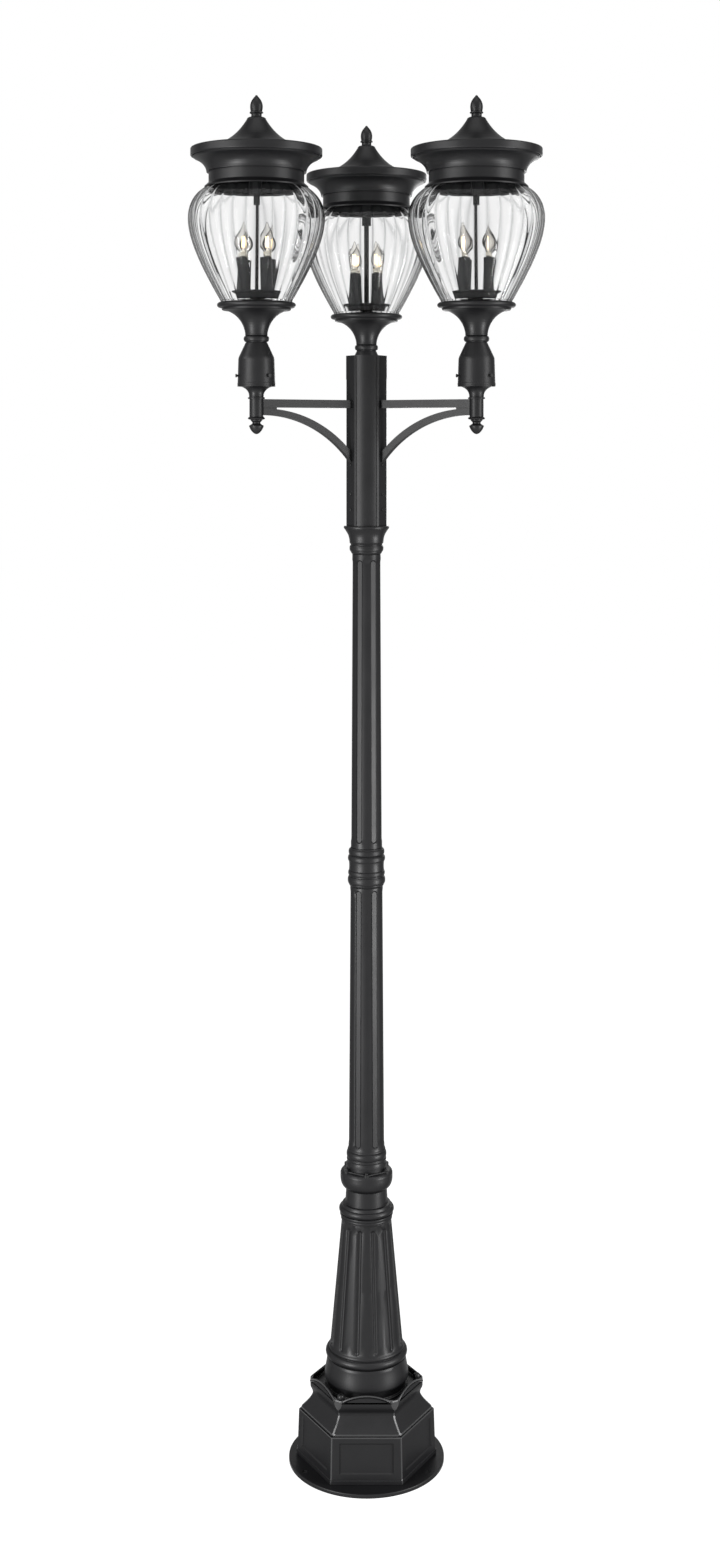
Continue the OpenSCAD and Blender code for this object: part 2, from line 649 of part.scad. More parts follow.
module capital() {
    z0 = capital_z;
    top = capital_top_z;
    shaft_bore = upper_top_r - 2.4 + slip;
    pass = pipe_d / 2 + 1;
    color("#2a2a2b") difference() {
        turned(concat(
            [[shaft_bore, z0], [upper_top_r + 0.6, z0], [upper_top_r + 3, z0 + 4]],
            bead(upper_top_r + 3.6, z0 + 6, z0 + 20, 2.6, 6),
            [[upper_top_r + 3.6, z0 + 22], [upper_top_r + 6.2, z0 + 25.5]],
            curve([upper_top_r + 6.2, top - 35], [upper_top_r + 7, top - 22],
                  [upper_top_r + 10.5, top - 17], [capital_r - 2, top - 7], 8),
            bead(capital_r - 2, top - 6.5, top, 2, 6),
            [[head_r + slip, top],
             [head_r + slip, head_z], [spigot_r, head_z], [spigot_r, spigot_top_z],
             [spigot_r - 4, spigot_top_z], [spigot_r - 4, head_z], [pass, head_z - 6],
             [pass, z0 + upper_spigot_h + 8], [shaft_bore, z0 + upper_spigot_h + 8]]));
        head_screw_holes(2);
    }
}

// Outline of the head tube: round lobes with a flat at each arm
module head_outline(r, flat) {
    intersection_for(angle = ARM_ANGLES) intersection() {
        circle(r = r);
        rotate([0, 0, angle]) translate([-2 * r, -2 * r]) square([2 * r + flat, 4 * r]);
    }
}

module head_section(r, flat) {
    groove = 1.1;
    groove_turn = 29.4;
    difference() {
        head_outline(r, flat);
        head_outline(r - head_wall - (r - head_r), flat - head_wall - (flat - head_flat));
        for (lobe = LOBE_ANGLES, turn = [-groove_turn, groove_turn])
            rotate([0, 0, lobe + turn]) translate([r, 0]) circle(r = groove, $fn = 24);
    }
}

// Heights of the small screws on each flat, from the tube's foot
HEAD_SCREW_HEIGHTS = [44, 78, 144];
head_screw_r = 2.2;

module head_screw_holes(grow) {
    for (angle = ARM_ANGLES, h = HEAD_SCREW_HEIGHTS) rotate([0, 0, angle])
        translate([spigot_r - 6, 0, head_z + h]) rotate([0, 90, 0])
            cylinder(r = head_screw_r + slip, h = 16 + grow, $fn = 32);
}

module head_tube() {
    color("#2d2d2e") difference() {
        translate([0, 0, head_z]) linear_extrude(height = head_h) head_section(head_r, head_flat);
        head_screw_holes(0);
        for (angle = ARM_ANGLES) rotate([0, 0, angle]) translate([head_r - 12, 0, arm_z + lead_hole_z])
            rotate([0, 90, 0]) cylinder(r = lead_hole_r, h = 20);
    }
}

module head_cap() {
    r = head_r + head_cap_proud;
    flat = head_flat + head_cap_proud;
    top_t = 3;
    tongue = 20;
    color("#2d2d2e") {
        translate([0, 0, seam_z]) linear_extrude(height = head_cap_h - top_t + eps) head_section(r, flat);
        translate([0, 0, head_top_z - top_t]) linear_extrude(height = top_t) head_outline(r, flat);
        translate([0, 0, seam_z - tongue]) linear_extrude(height = tongue + 4) difference() {
            head_outline(head_r - head_wall - slip, head_flat - head_wall - slip);
            head_outline(head_r - head_wall - 3, head_flat - head_wall - 3);
        }
        translate([0, 0, seam_z]) linear_extrude(height = 4) difference() {
            head_outline(head_r - head_wall + eps, head_flat - head_wall + eps);
            head_outline(head_r - head_wall - 3, head_flat - head_wall - 3);
        }
    }
}

module head_screws() color("#3a3a3b")
    for (angle = ARM_ANGLES, h = HEAD_SCREW_HEIGHTS) rotate([0, 0, angle])
        translate([head_flat, 0, head_z + h]) rotate([0, 90, 0])
            pan_screw(3.6, 1.8, head_screw_r, head_wall + 3.6);

module core_pipe() color("#8f9295") translate([0, 0, plate_t]) difference() {
    cylinder(d = pipe_d, h = head_z - plate_t + 20);
    translate([0, 0, -1]) cylinder(d = pipe_d - 2 * pipe_wall, h = head_z - plate_t + 22);
}

// The cable lies against the inside of the pipe
cable_x = min(pipe_d / 2 - pipe_wall, cable_entry_d / 2) - cable_d / 2 - gap;
splice_z = arm_z - 40;

module supply_cable() color("#1b1b1b")
    translate([cable_x, 0, 2]) cylinder(d = cable_d, h = splice_z - 2);

module wire_nuts() color("#b5502a")
    for (angle = ARM_ANGLES) translate([cable_x, 0, splice_z]) rotate([0, 0, angle]) {
        nut_r = 7.5;
        translate([nut_r * 1.2, 0, 0]) turned([[0, 0], [nut_r, 0], [nut_r, 8], [nut_r - 2.5, 22], [0, 22]]);
    }

// A wire that runs through points, with a ball at each bend
module wire(points, r) {
    for (i = [0 : len(points) - 2]) {
        step = points[i + 1] - points[i];
        long = norm(step);
        translate(points[i]) rotate([0, acos(step[2] / long), atan2(step[1], step[0])])
            cylinder(r = r, h = long, $fn = 24);
    }
    for (p = points) translate(p) sphere(r = r, $fn = 24);
}

module arm_leads() {
    color("#1b1b1b") for (angle = ARM_ANGLES) on_arm(angle)
        wire([[16, 0, splice_z + 24], [22, 0, arm_z + lead_z], [arm_reach, 0, arm_z + lead_z],
              [arm_reach, 0, arm_z + seat + tenon_h - 8]], lead_r);
}

module square_tube_section(side) difference() {
    square(side, center = true);
    square(side - 2 * arm_bar_wall, center = true);
}

// The end of a bar is coped to the round socket tube
module socket_cope() translate([arm_reach, 0, arm_z - 200]) cylinder(r = socket_r + slip, h = 400);

module arm_bar(angle) color("#2f2f30") on_arm(angle) difference() {
    translate([head_flat, 0, arm_z]) rotate([90, 0, 90])
        linear_extrude(height = arm_reach - head_flat) square_tube_section(arm_bar_w);
    socket_cope();
}

// The brace is an arc that is level near the socket, where it is welded under the bar
brace_apex_x = arm_reach - brace_apex_in;
brace_apex_z = arm_z - arm_bar_w / 2 - 2.4 - brace_w / 2;

module arm_brace(angle) {
    sweep = asin((brace_apex_x - head_flat) / (brace_bend_r - brace_w / 2)) + 4;
    color("#2f2f30") on_arm(angle) difference() {
        union() {
            translate([brace_apex_x, 0, brace_apex_z - brace_bend_r]) rotate([90, 0, 0]) rotate([0, 0, 90])
                rotate_extrude(angle = sweep) translate([brace_bend_r, 0]) square_tube_section(brace_w);
            translate([brace_apex_x, 0, brace_apex_z]) rotate([90, 0, 90])
                linear_extrude(height = brace_apex_in) square_tube_section(brace_w);
            translate([arm_reach - weld_l, -brace_w / 2 + 1, brace_apex_z + brace_w / 2 - 1.6])
                cube([weld_l, brace_w - 2, 4]);
        }
        socket_cope();
        translate([head_flat - 400, -50, arm_z - 600]) cube([400, 100, 900]);
    }
}

module arm_socket(angle) {
    bore = socket_r - 4.2;
    tenon_r = tenon_d / 2;
    tenon_wall = 3.6;
    cup_r = fitter_foot_r - 0.1;
    color("#2c2c2d") on_arm(angle) translate([arm_reach, 0, arm_z]) difference() {
        turned(concat(
            [[bore, socket_foot], [socket_r - 2, socket_foot], [socket_r + 2.2, socket_foot + 1.2],
             [socket_r + 3.7, socket_foot + 3.5], [socket_r + 2, socket_foot + 5.2],
             [socket_r, socket_foot + 6.5], [socket_r, socket_ring - 1.7],
             [socket_r + 3.2, socket_ring - 1.5], [socket_r + 3.2, socket_ring + 1.6],
             [socket_r + 1, socket_ring + 2.2], [socket_r + 0.6, cup_foot]],
            [for (p = arc(cup_r, cup_foot + 2, cup_r - socket_r - 0.7, cup_h - 9, 180, 94, 9)) p],
            [[cup_r, seat - 2.6], [cup_r, seat], [tenon_r, seat], [tenon_r, seat + tenon_h - 2],
             [tenon_r - 2, seat + tenon_h], [tenon_r - tenon_wall, seat + tenon_h],
             [tenon_r - tenon_wall, seat + 4], [bore, seat - 2]]));
        translate([-socket_r - 2, 0, lead_hole_z]) rotate([0, 90, 0]) cylinder(r = lead_hole_r, h = socket_r);
    }
}

module arm_drop(angle) {
    top = socket_foot;
    thread_r = socket_r - 4.2 - slip;
    color("#2a2a2b") on_arm(angle) translate([arm_reach, 0, arm_z])
        turned(concat([[0, top + 8], [thread_r, top + 8], [thread_r, top], [socket_r - 2.2, top],
                       [socket_r - 3, top - 2], [socket_r - 6.4, top - 5.5], [socket_r - 6.4, top - 8],
                       [socket_r - 3, top - 10.6], [socket_r + 0.6, top - 12.6]],
                      curve([socket_r + 0.9, top - 13.6], [socket_r - 0.6, top - 19],
                            [socket_r - 7, top - 31], [0, top - 31.4], 9)));
}

module fitter(angle) {
    wall = 3;
    top = fitter_h;
    nipple_r = 8;
    color("#2b2b2c") on_lantern(angle) difference() {
        turned([[fitter_bore_r, 0], [fitter_foot_r, 0], [fitter_foot_r, 4.5], [fitter_foot_r - 0.5, 5.5],
                [fitter_foot_r - 2, fitter_straight_h - 3], [fitter_foot_r - 3, fitter_straight_h + 1],
                [fitter_top_r, top], [nipple_r + slip, top], [nipple_r + slip, top - 5],
                [fitter_top_r - wall, top - 5], [fitter_bore_r - 2.6, fitter_straight_h - 2],
                [fitter_bore_r - 2.6, fitter_straight_h - 6], [fitter_bore_r, fitter_straight_h - 7]]);
        for (k = [0 : fitter_screws_n - 1]) rotate([0, 0, fitter_screw_turn + k * 360 / fitter_screws_n])
            translate([fitter_bore_r - 2, 0, 20.5]) rotate([0, 90, 0]) cylinder(r = 2.7, h = 8, $fn = 32);
    }
}

module fitter_screws(angle) {
    proud = 4.6;
    color("#1d1d1e") on_lantern(angle)
        for (k = [0 : fitter_screws_n - 1]) rotate([0, 0, fitter_screw_turn + k * 360 / fitter_screws_n])
            translate([fitter_bore_r, 0, 20.5]) rotate([0, 90, 0]) {
                cylinder(r = 2.5, h = fitter_foot_r - fitter_bore_r + proud - 2, $fn = 32);
                translate([0, 0, fitter_foot_r - fitter_bore_r + proud - 2.4]) cylinder(r = 3.8, h = 2.4, $fn = 32);
            }
}

// The pan: a neck ring, a trumpet that opens upwards, a step and a rounded rim
module pan(angle) {
    z0 = fitter_h;
    step_r = pan_r - 10.5;
    flare_a = step_r - pan_neck_r - 4 + 9;
    flare_b = pan_h - 28;
    flare = arc(pan_neck_r + flare_a, z0 + 12, flare_a, flare_b, 172, 101, 12);
    seat_r = glass_foot_r + 1.2;
    nipple_r = 8;
    color("#2b2b2c") on_lantern(angle)
        turned(concat(
            [[nipple_r - 2.5, z0 - 12], [nipple_r, z0 - 12], [nipple_r, z0], [fitter_top_r - 1.5, z0],
             [fitter_top_r - 0.5, z0 + 1.2]],
            bead(pan_neck_r - 0.4, z0 + 2, z0 + 15, 4.3),
            [[pan_neck_r + 0.6, z0 + 16], [pan_neck_r + 0.6, z0 + 18]],
            flare,
            [[step_r - 2, pan_rim_z - 17.5], [step_r, pan_rim_z - 16.5], [step_r, pan_rim_z - 12.5],
             [pan_r - 7, pan_rim_z - 12]],
            bead(pan_r - 7, pan_rim_z - 12, pan_rim_z, 7),
            [[seat_r, pan_rim_z], [seat_r, pan_floor_z], [rod_d / 2 + slip, pan_floor_z],
             [rod_d / 2 + slip, pan_floor_z - 6], [step_r - 12, pan_floor_z - 6]],
            reversed(moved(flare, [-4.5, 3])),
            [[nipple_r - 2.5, z0 + 14]]));
}

module candle_plate(angle) {
    lip = plate_lip_z;
    lip_r = candle_ring_r + candle_d / 2 + 5.2;
    body_r = lip_r - 8;
    stem_r = 16;
    bore = rod_d / 2 + slip;
    color("#262627") on_lantern(angle)
        turned([[bore, pan_floor_z], [stem_r, pan_floor_z], [stem_r, lip - 15], [body_r - 4, lip - 15],
                [body_r - 2, lip - 13], [body_r + 1, lip - 4], [lip_r - 2, lip - 1], [lip_r, lip + 0.6],
                [lip_r, lip + 2.6], [lip_r - 1.6, lip + 2.6], [lip_r - 2.4, lip + 1.4],
                [body_r + 1, lip + 3.5], [bore, lip + 3.5]]);
}

// Copies what follows onto each candle's place in a lantern
module on_candles(angle) on_lantern(angle)
    for (k = [0 : candles_n - 1]) rotate([0, 0, candle_turn + k * 360 / candles_n])
        translate([candle_ring_r, 0, 0]) children();

holder_r = 8.4;
holder_top_z = candle_top_z - 5;

module candles(angle) {
    sleeve_wall = 1.2;
    color("#242425") on_candles(angle) {
        turned([[candle_d / 2 - sleeve_wall, candle_z], [candle_d / 2, candle_z],
                [candle_d / 2, candle_top_z - 1], [candle_d / 2 - 1, candle_top_z],
                [holder_r + 0.4, candle_top_z], [holder_r + 0.4, candle_top_z - 1.6],
                [candle_d / 2 - sleeve_wall, candle_top_z - 1.6]]);
        difference() {
            translate([0, 0, candle_z]) cylinder(r = holder_r, h = holder_top_z - candle_z);
            translate([0, 0, holder_top_z - 24]) cylinder(r = 6 + slip, h = 30);
        }
    }
}

module bulbs(angle) {
    cap_r = 6;
    cap_z = holder_top_z - 20;
    foot_z = candle_top_z + 11;
    tip_z = candle_top_z + bulb_h;
    swell = bulb_d / 2;
    swell_z = foot_z + bulb_h * 0.29;
    color("#e8e2d2") on_candles(angle) {
        turned([[0, cap_z], [2.4, cap_z], [cap_r, cap_z + 3], [cap_r, candle_top_z + 3],
                [cap_r + 1, candle_top_z + 4], [cap_r + 1, foot_z], [0, foot_z]]);
        turned(concat([[0, foot_z]],
                      curve([cap_r + 0.6, foot_z], [cap_r + 2.4, foot_z + 8],
                            [swell, foot_z + 10], [swell, swell_z], 8),
                      curve([swell, swell_z], [swell, swell_z + 15],
                            [2.6, tip_z - 19], [1.5, tip_z - 1], 10),
                      [[0, tip_z]]));
    }
}

// The rod ties the pan, the glass and the roof together, with a coupling under the roof's hub
hub_r = 14;
coupler_top_z = glass_top_z - 19;
rod_top_z = roof_top_z + 13;

module tie_rod(angle) {
    coupler_r = 7.3;
    coupler_h = 22;
    color("#1f1f20") on_lantern(angle) {
        translate([0, 0, pan_floor_z - 12]) cylinder(d = rod_d, h = rod_top_z - pan_floor_z + 12);
        translate([0, 0, coupler_top_z - coupler_h]) cylinder(r = coupler_r, h = coupler_h);
        translate([0, 0, pan_floor_z - 14]) cylinder(r = rod_d * 0.9, h = 7.5, $fn = hex_sides);
    }
}

// Outline of the glass, from its foot to its mouth, at a distance inside the outer face
function shoulder_a(t) = 67.3 + glass_r - 149.3 - t;
function shoulder_b(t) = glass_shoulder_h + 3 - t;
shoulder_x = glass_r - shoulder_a(0);
mouth_angle = acos((glass_mouth_r - shoulder_x) / shoulder_a(0));
function glass_outline(t) = concat(
    [[glass_foot_r - t, glass_z + (t > 0 ? 0 : 0)], [glass_foot_r - t, glass_z + 7]],
    curve([glass_foot_r + 0.5 - t, glass_z + 8],
          [glass_foot_r + 34 - t, glass_z + glass_belly_h * 0.37],
          [glass_r - t, belly_z - glass_belly_h * 0.29],
          [glass_r - t, belly_z], 16),
    [for (p = arc(shoulder_x, belly_z, shoulder_a(t), shoulder_b(t), 4, mouth_angle, 12)) p]);

module glass(angle) color([0.86, 0.9, 0.9, 0.35]) on_lantern(angle)
    turned(concat(glass_outline(0), reversed(glass_outline(glass_t))));

// Underside of the roof's flange, which follows the shoulder of the glass
function shoulder_z(r, t) = belly_z + shoulder_b(t) * sin(acos((r - shoulder_x) / shoulder_a(t)));

module roof(angle) {
    flange_out_r = band_r + 9;
    flange_in_r = band_r - roof_wall + 1;
    bore = rod_d / 2 + 0.4;
    step = 4.7;
    lip_r = roof_r - 5.2;
    cove = curve([band_r + step, cove_z + 1.5], [band_r + step + 1.7, cove_z + cove_h * 0.45],
                 [band_r + step + 13, cove_z + cove_h * 0.78], [lip_r - 2.4, rim_z - 1.5], 9);
    spire = curve([roof_r - 43, rim_top_z + 2], [spire_top_r + 37, rim_top_z + 10.5],
                  [spire_top_r + 14, rim_top_z + spire_h * 0.58], [spire_top_r, roof_top_z - 5], 12);
    color("#2b2b2c") on_lantern(angle)
        turned(concat(
            [[flange_in_r, shoulder_z(flange_in_r, 0) + gap + 0.3],
             [band_r + 3, shoulder_z(band_r + 3, 0) + gap + 0.2],
             [flange_out_r, shoulder_z(flange_out_r, 0) + gap + 0.2],
             [flange_out_r, shoulder_z(flange_out_r, 0) + gap + 3.2],
             [band_r + 1.4, band_z - 2], [band_r, band_z], [band_r, cove_z],
             [band_r + step, cove_z]],
            cove,
            [[lip_r - 1, rim_z], [lip_r, rim_z + 1], [lip_r, rim_z + 4.5], [lip_r + 1.6, rim_z + 4.5],
             [lip_r + 1.8, rim_z + 2.5]],
            arc(roof_r - 3, rim_z + 5, 3, 3, -80, 0, 4),
            arc(roof_r - 4.5, rim_top_z - 4.5, 4.5, 3.5, 0, 86, 5),
            spire,
            arc(spire_top_r - spire_round, roof_top_z - 5, spire_round, 5, 8, 78, 4),
            [[spire_top_r - spire_round, roof_top_z], [bore, roof_top_z], [bore, coupler_top_z + gap],
             [hub_r, coupler_top_z + gap], [hub_r, roof_top_z - 14]],
            reversed(moved([for (i = [1 : 11]) spire[i]], [-roof_wall + 0.6, -roof_wall])),
            [[roof_r - 46, rim_top_z - roof_wall], [lip_r - 3.5, rim_top_z - roof_wall - 2],
             [lip_r - 3.5, rim_z + 3]],
            reversed(moved([for (i = [0 : 8]) cove[i]], [-roof_wall, 2.4])),
            [[flange_in_r, cove_z + 1]]));
}

module finial(angle) {
    z0 = finial_z;
    h = finial_h;
    ring_z = z0 + 8;
    color("#2a2a2b") on_lantern(angle) difference() {
        turned(concat([[0, z0], [finial_r - 2.2, z0], [finial_r - 2.7, z0 + 2], [finial_r - 2.7, ring_z - 2],
                       [finial_r - 1.7, ring_z - 0.8], [finial_r + 0.7, ring_z],
                       [finial_r + 0.7, ring_z + 2.4], [finial_r - 1.6, ring_z + 4]],
                      curve([finial_r - 1.2, ring_z + 5.5], [finial_r + 1.2, ring_z + h * 0.36],
                            [finial_r - 0.6, ring_z + h * 0.56], [3.4, z0 + h - 3.2], 10),
                      [[2.4, z0 + h - 1.2], [0, z0 + h]]));
        translate([0, 0, z0 - 1]) cylinder(r = rod_d / 2 + running, h = rod_top_z - z0 + 3);
    }
}

anchor_plate();
hex_base();
base_shroud();
base_screws();
pedestal();
pedestal_collar();
collar_screws();
lower_shaft();
shaft_coupling();
upper_shaft();
capital();
head_tube();
head_cap();
head_screws();
core_pipe();
supply_cable();
wire_nuts();
arm_leads();
for (k = [0 : len(ARM_NAMES) - 1]) {
    side = ARM_NAMES[k];
    angle = ARM_ANGLES[k];
    arm_bar(angle);
    arm_brace(angle);
    arm_socket(angle);
    arm_drop(angle);
    fitter(angle);
    fitter_screws(angle);
    pan(angle);
    candle_plate(angle);
    candles(angle);
    bulbs(angle);
    tie_rod(angle);
    glass(angle);
    roof(angle);
    finial(angle);
}
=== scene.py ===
"""Looks of an outdoor post light with three urn lanterns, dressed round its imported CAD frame.

Every length is in metres unless a name or docstring says millimetres, in the frame of the CAD
model: +Z up along the post, the front towards -Y, and the origin under the middle of the
anchor plate.
"""

import logging
import math
from dataclasses import dataclass
from enum import Enum

import bpy
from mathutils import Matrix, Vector


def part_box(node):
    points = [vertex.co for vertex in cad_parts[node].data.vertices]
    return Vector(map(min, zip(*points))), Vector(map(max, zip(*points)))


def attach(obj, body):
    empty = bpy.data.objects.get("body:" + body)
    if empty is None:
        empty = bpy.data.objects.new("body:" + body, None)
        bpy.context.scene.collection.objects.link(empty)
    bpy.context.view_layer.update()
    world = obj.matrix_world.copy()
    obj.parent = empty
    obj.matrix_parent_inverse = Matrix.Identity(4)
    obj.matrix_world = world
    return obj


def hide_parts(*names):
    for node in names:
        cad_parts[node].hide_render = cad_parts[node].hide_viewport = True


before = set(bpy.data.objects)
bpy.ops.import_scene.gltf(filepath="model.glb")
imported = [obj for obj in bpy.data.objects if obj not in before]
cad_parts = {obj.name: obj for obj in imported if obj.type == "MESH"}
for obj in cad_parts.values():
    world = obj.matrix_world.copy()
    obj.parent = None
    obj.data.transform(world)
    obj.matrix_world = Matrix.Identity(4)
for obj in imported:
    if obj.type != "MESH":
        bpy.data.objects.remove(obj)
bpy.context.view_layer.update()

MM = 0.001
SIDES = ("left", "right", "rear")
# The name of the glass's own attribute: 1 in a crease between two ribs, 0 away from it.
CREASE = "crease"
# Two numbers, such as a radius and a height, and a place in space.
Pair = tuple[float, float]
Place = tuple[float, float, float]

logging.basicConfig(level=logging.INFO, format="%(message)s")
log = logging.getLogger("post_light")


def srgb(hex_colour: str) -> tuple[float, float, float, float]:
    """Turn an sRGB hex colour into linear light.

    Args:
        hex_colour: Six hex digits, with or without a leading #.

    Returns:
        Linear red, green and blue, and an alpha of 1.
    """
    digits = hex_colour.lstrip("#")
    parts = [int(digits[i : i + 2], 16) / 255 for i in (0, 2, 4)]
    linear = [c / 12.92 if c <= 0.04045 else ((c + 0.055) / 1.055) ** 2.4 for c in parts]
    return linear[0], linear[1], linear[2], 1.0


def add_node(
    tree: bpy.types.NodeTree, kind: str, settings: dict | None = None, links: dict | None = None
) -> bpy.types.Node:
    """Add one node to a tree, with its settings and the links into it.

    Args:
        tree: The node tree.
        kind: The node's type name, such as ShaderNodeTexNoise.
        settings: Values by socket name, or by property name where no input has that name.
        links: Output sockets by the name or number of the input that they feed.

    Returns:
        The new node.
    """
    node = tree.nodes.new(kind)
    for name, value in (settings or {}).items():
        if isinstance(name, str) and hasattr(node, name):
            setattr(node, name, value)
        else:
            node.inputs[name].default_value = value
    for name, socket in (links or {}).items():
        tree.links.new(socket, node.inputs[name])
    return node


def blank_material(name: str) -> tuple[bpy.types.Material, bpy.types.NodeTree, bpy.types.Node]:
    """Make a material with nothing but its output.

    Args:
        name: The material's name.

    Returns:
        The material, its tree and its output node.
    """
    material = bpy.data.materials.new(name)
    material.use_nodes = True
    tree = material.node_tree
    tree.nodes.clear()
    return material, tree, add_node(tree, "ShaderNodeOutputMaterial")


def per_metre(size_mm: float) -> float:
    """Give the texture scale at which one period of a pattern measures size_mm."""
    return 1 / (size_mm * MM)


@dataclass(frozen=True)
class PowderCoat:
    """Satin powder coat, baked on metal: a fine rounded grain, and slow changes in its thickness.

    The eye sees a soft sheen that breaks up into grain near a highlight, and a slightly
    lighter tone where the coat is thin. The sheen fades between two slants.
    """

    name: str
    colour: str = "#121213"
    thin_colour: str = "#171718"
    roughness: float = 0.40
    roughness_spread: float = 0.08
    grain_mm: float = 1.5
    grain_height: float = 0.05 * MM
    cloud_mm: float = 60.0
    sheen: float = 0.21
    edge_sheen: float = 0.03
    fades_from: float = 0.14
    fades_to: float = 0.5

    def build(self) -> bpy.types.Material:
        """Build the node material.

        Returns:
            The finished material.
        """
        material, tree, output = blank_material(self.name)
        place = add_node(tree, "ShaderNodeTexCoord").outputs["Object"]
        # The grain is drawn about three times as coarse as a real coat's, so that it shows.
        grain = add_node(
            tree,
            "ShaderNodeTexNoise",
            {"Scale": per_metre(self.grain_mm), "Detail": 2.0, "Roughness": 0.5},
            {"Vector": place},
        )
        clouds = add_node(
            tree,
            "ShaderNodeTexNoise",
            {"Scale": per_metre(self.cloud_mm), "Detail": 4.0, "Roughness": 0.6},
            {"Vector": place},
        )
        tone = add_node(
            tree,
            "ShaderNodeMix",
            {"data_type": "RGBA", 6: srgb(self.colour), 7: srgb(self.thin_colour)},
            {0: clouds.outputs["Fac"]},
        )
        rough = add_node(
            tree,
            "ShaderNodeMapRange",
            {
                "From Min": 0.3,
                "From Max": 0.7,
                "To Min": self.roughness - self.roughness_spread / 2,
                "To Max": self.roughness + self.roughness_spread / 2,
            },
            {"Value": clouds.outputs["Fac"]},
        )
        bump = add_node(
            tree,
            "ShaderNodeBump",
            {"Strength": 0.6, "Distance": self.grain_height},
            {"Height": grain.outputs["Fac"]},
        )
        # The grain shades itself where the coat is seen at a slant, so its sheen fades there.
        slant = add_node(tree, "ShaderNodeLayerWeight", {"Blend": 0.5})
        level = add_node(
            tree,
            "ShaderNodeMapRange",
            {
                "From Min": self.fades_from,
                "From Max": self.fades_to,
                "To Min": self.sheen,
                "To Max": self.edge_sheen,
            },
            {"Value": slant.outputs["Facing"]},
        )
        coat = add_node(
            tree,
            "ShaderNodeBsdfPrincipled",
            {"Metallic": 0.0},
            {
                "Base Color": tone.outputs[2],
                "Roughness": rough.outputs["Result"],
                "Specular IOR Level": level.outputs["Result"],
                "Normal": bump.outputs["Normal"],
            },
        )
        tree.links.new(coat.outputs["BSDF"], output.inputs["Surface"])
        return material


@dataclass(frozen=True)
class BlownGlass:
    """Clear soda-lime glass blown into a ribbed mould: faint grey, with slow ripples.

    The eye sees fine grey lines along the creases between the ribs, and grey where the wall
    turns away, which comes in between two slants.
    """

    name: str = "ribbed_clear_glass"
    tint: str = "#FCFCFC"
    edge_tint: str = "#C9CACB"
    shadow_tint: str = "#F0F2F2"
    greys_from: float = 0.62
    greys_to: float = 0.97
    crease_share: float = 0.42
    ripple_mm: float = 34.0
    ripple_height: float = 0.16 * MM
    ior: float = 1.5
    reflection: float = 0.25
    reflection_roughness: float = 0.02

    def build(self) -> bpy.types.Material:
        """Build the node material.

        Returns:
            The finished material.
        """
        material, tree, output = blank_material(self.name)
        place = add_node(tree, "ShaderNodeTexCoord").outputs["Object"]
        ripples = add_node(
            tree,
            "ShaderNodeTexNoise",
            {"Scale": per_metre(self.ripple_mm), "Detail": 1.0, "Roughness": 0.4},
            {"Vector": place},
        )
        bump = add_node(
            tree,
            "ShaderNodeBump",
            {"Strength": 0.5, "Distance": self.ripple_height},
            {"Height": ripples.outputs["Fac"]},
        )
        # Light runs further through the wall where it is seen at a slant, so it greys there.
        slant = add_node(tree, "ShaderNodeLayerWeight", {"Blend": 0.5})
        depth = add_node(
            tree,
            "ShaderNodeMapRange",
            {"From Min": self.greys_from, "From Max": self.greys_to},
            {"Value": slant.outputs["Facing"]},
        )
        crease = add_node(tree, "ShaderNodeAttribute", {"attribute_name": CREASE})
        line = add_node(
            tree,
            "ShaderNodeMath",
            {"operation": "MULTIPLY_ADD", 1: self.crease_share},
            {0: crease.outputs["Fac"], 2: depth.outputs["Result"]},
        )
        tint = add_node(
            tree,
            "ShaderNodeMix",
            {"data_type": "RGBA", 6: srgb(self.tint), 7: srgb(self.edge_tint)},
            {0: line.outputs["Value"]},
        )
        through = add_node(
            tree,
            "ShaderNodeBsdfRefraction",
            {"Roughness": 0.0, "IOR": self.ior},
            {"Color": tint.outputs[2], "Normal": bump.outputs["Normal"]},
        )
        mirror = add_node(
            tree,
            "ShaderNodeBsdfGlossy",
            {"Roughness": self.reflection_roughness},
            {"Normal": bump.outputs["Normal"]},
        )
        fresnel = add_node(tree, "ShaderNodeFresnel", {"IOR": self.ior})
        share = add_node(
            tree,
            "ShaderNodeMath",
            {"operation": "MULTIPLY", 1: self.reflection},
            {0: fresnel.outputs["Fac"]},
        )
        body = add_node(
            tree,
            "ShaderNodeMixShader",
            None,
            {0: share.outputs["Value"], 1: through.outputs["BSDF"], 2: mirror.outputs["BSDF"]},
        )
        # Lamp light goes straight through, so that the candles inside are lit.
        clear = add_node(tree, "ShaderNodeBsdfTransparent", {"Color": srgb(self.shadow_tint)})
        path = add_node(tree, "ShaderNodeLightPath")
        mix = add_node(
            tree,
            "ShaderNodeMixShader",
            None,
            {0: path.outputs["Is Shadow Ray"], 1: body.outputs["Shader"], 2: clear.outputs["BSDF"]},
        )
        tree.links.new(mix.outputs["Shader"], output.inputs["Surface"])
        return material


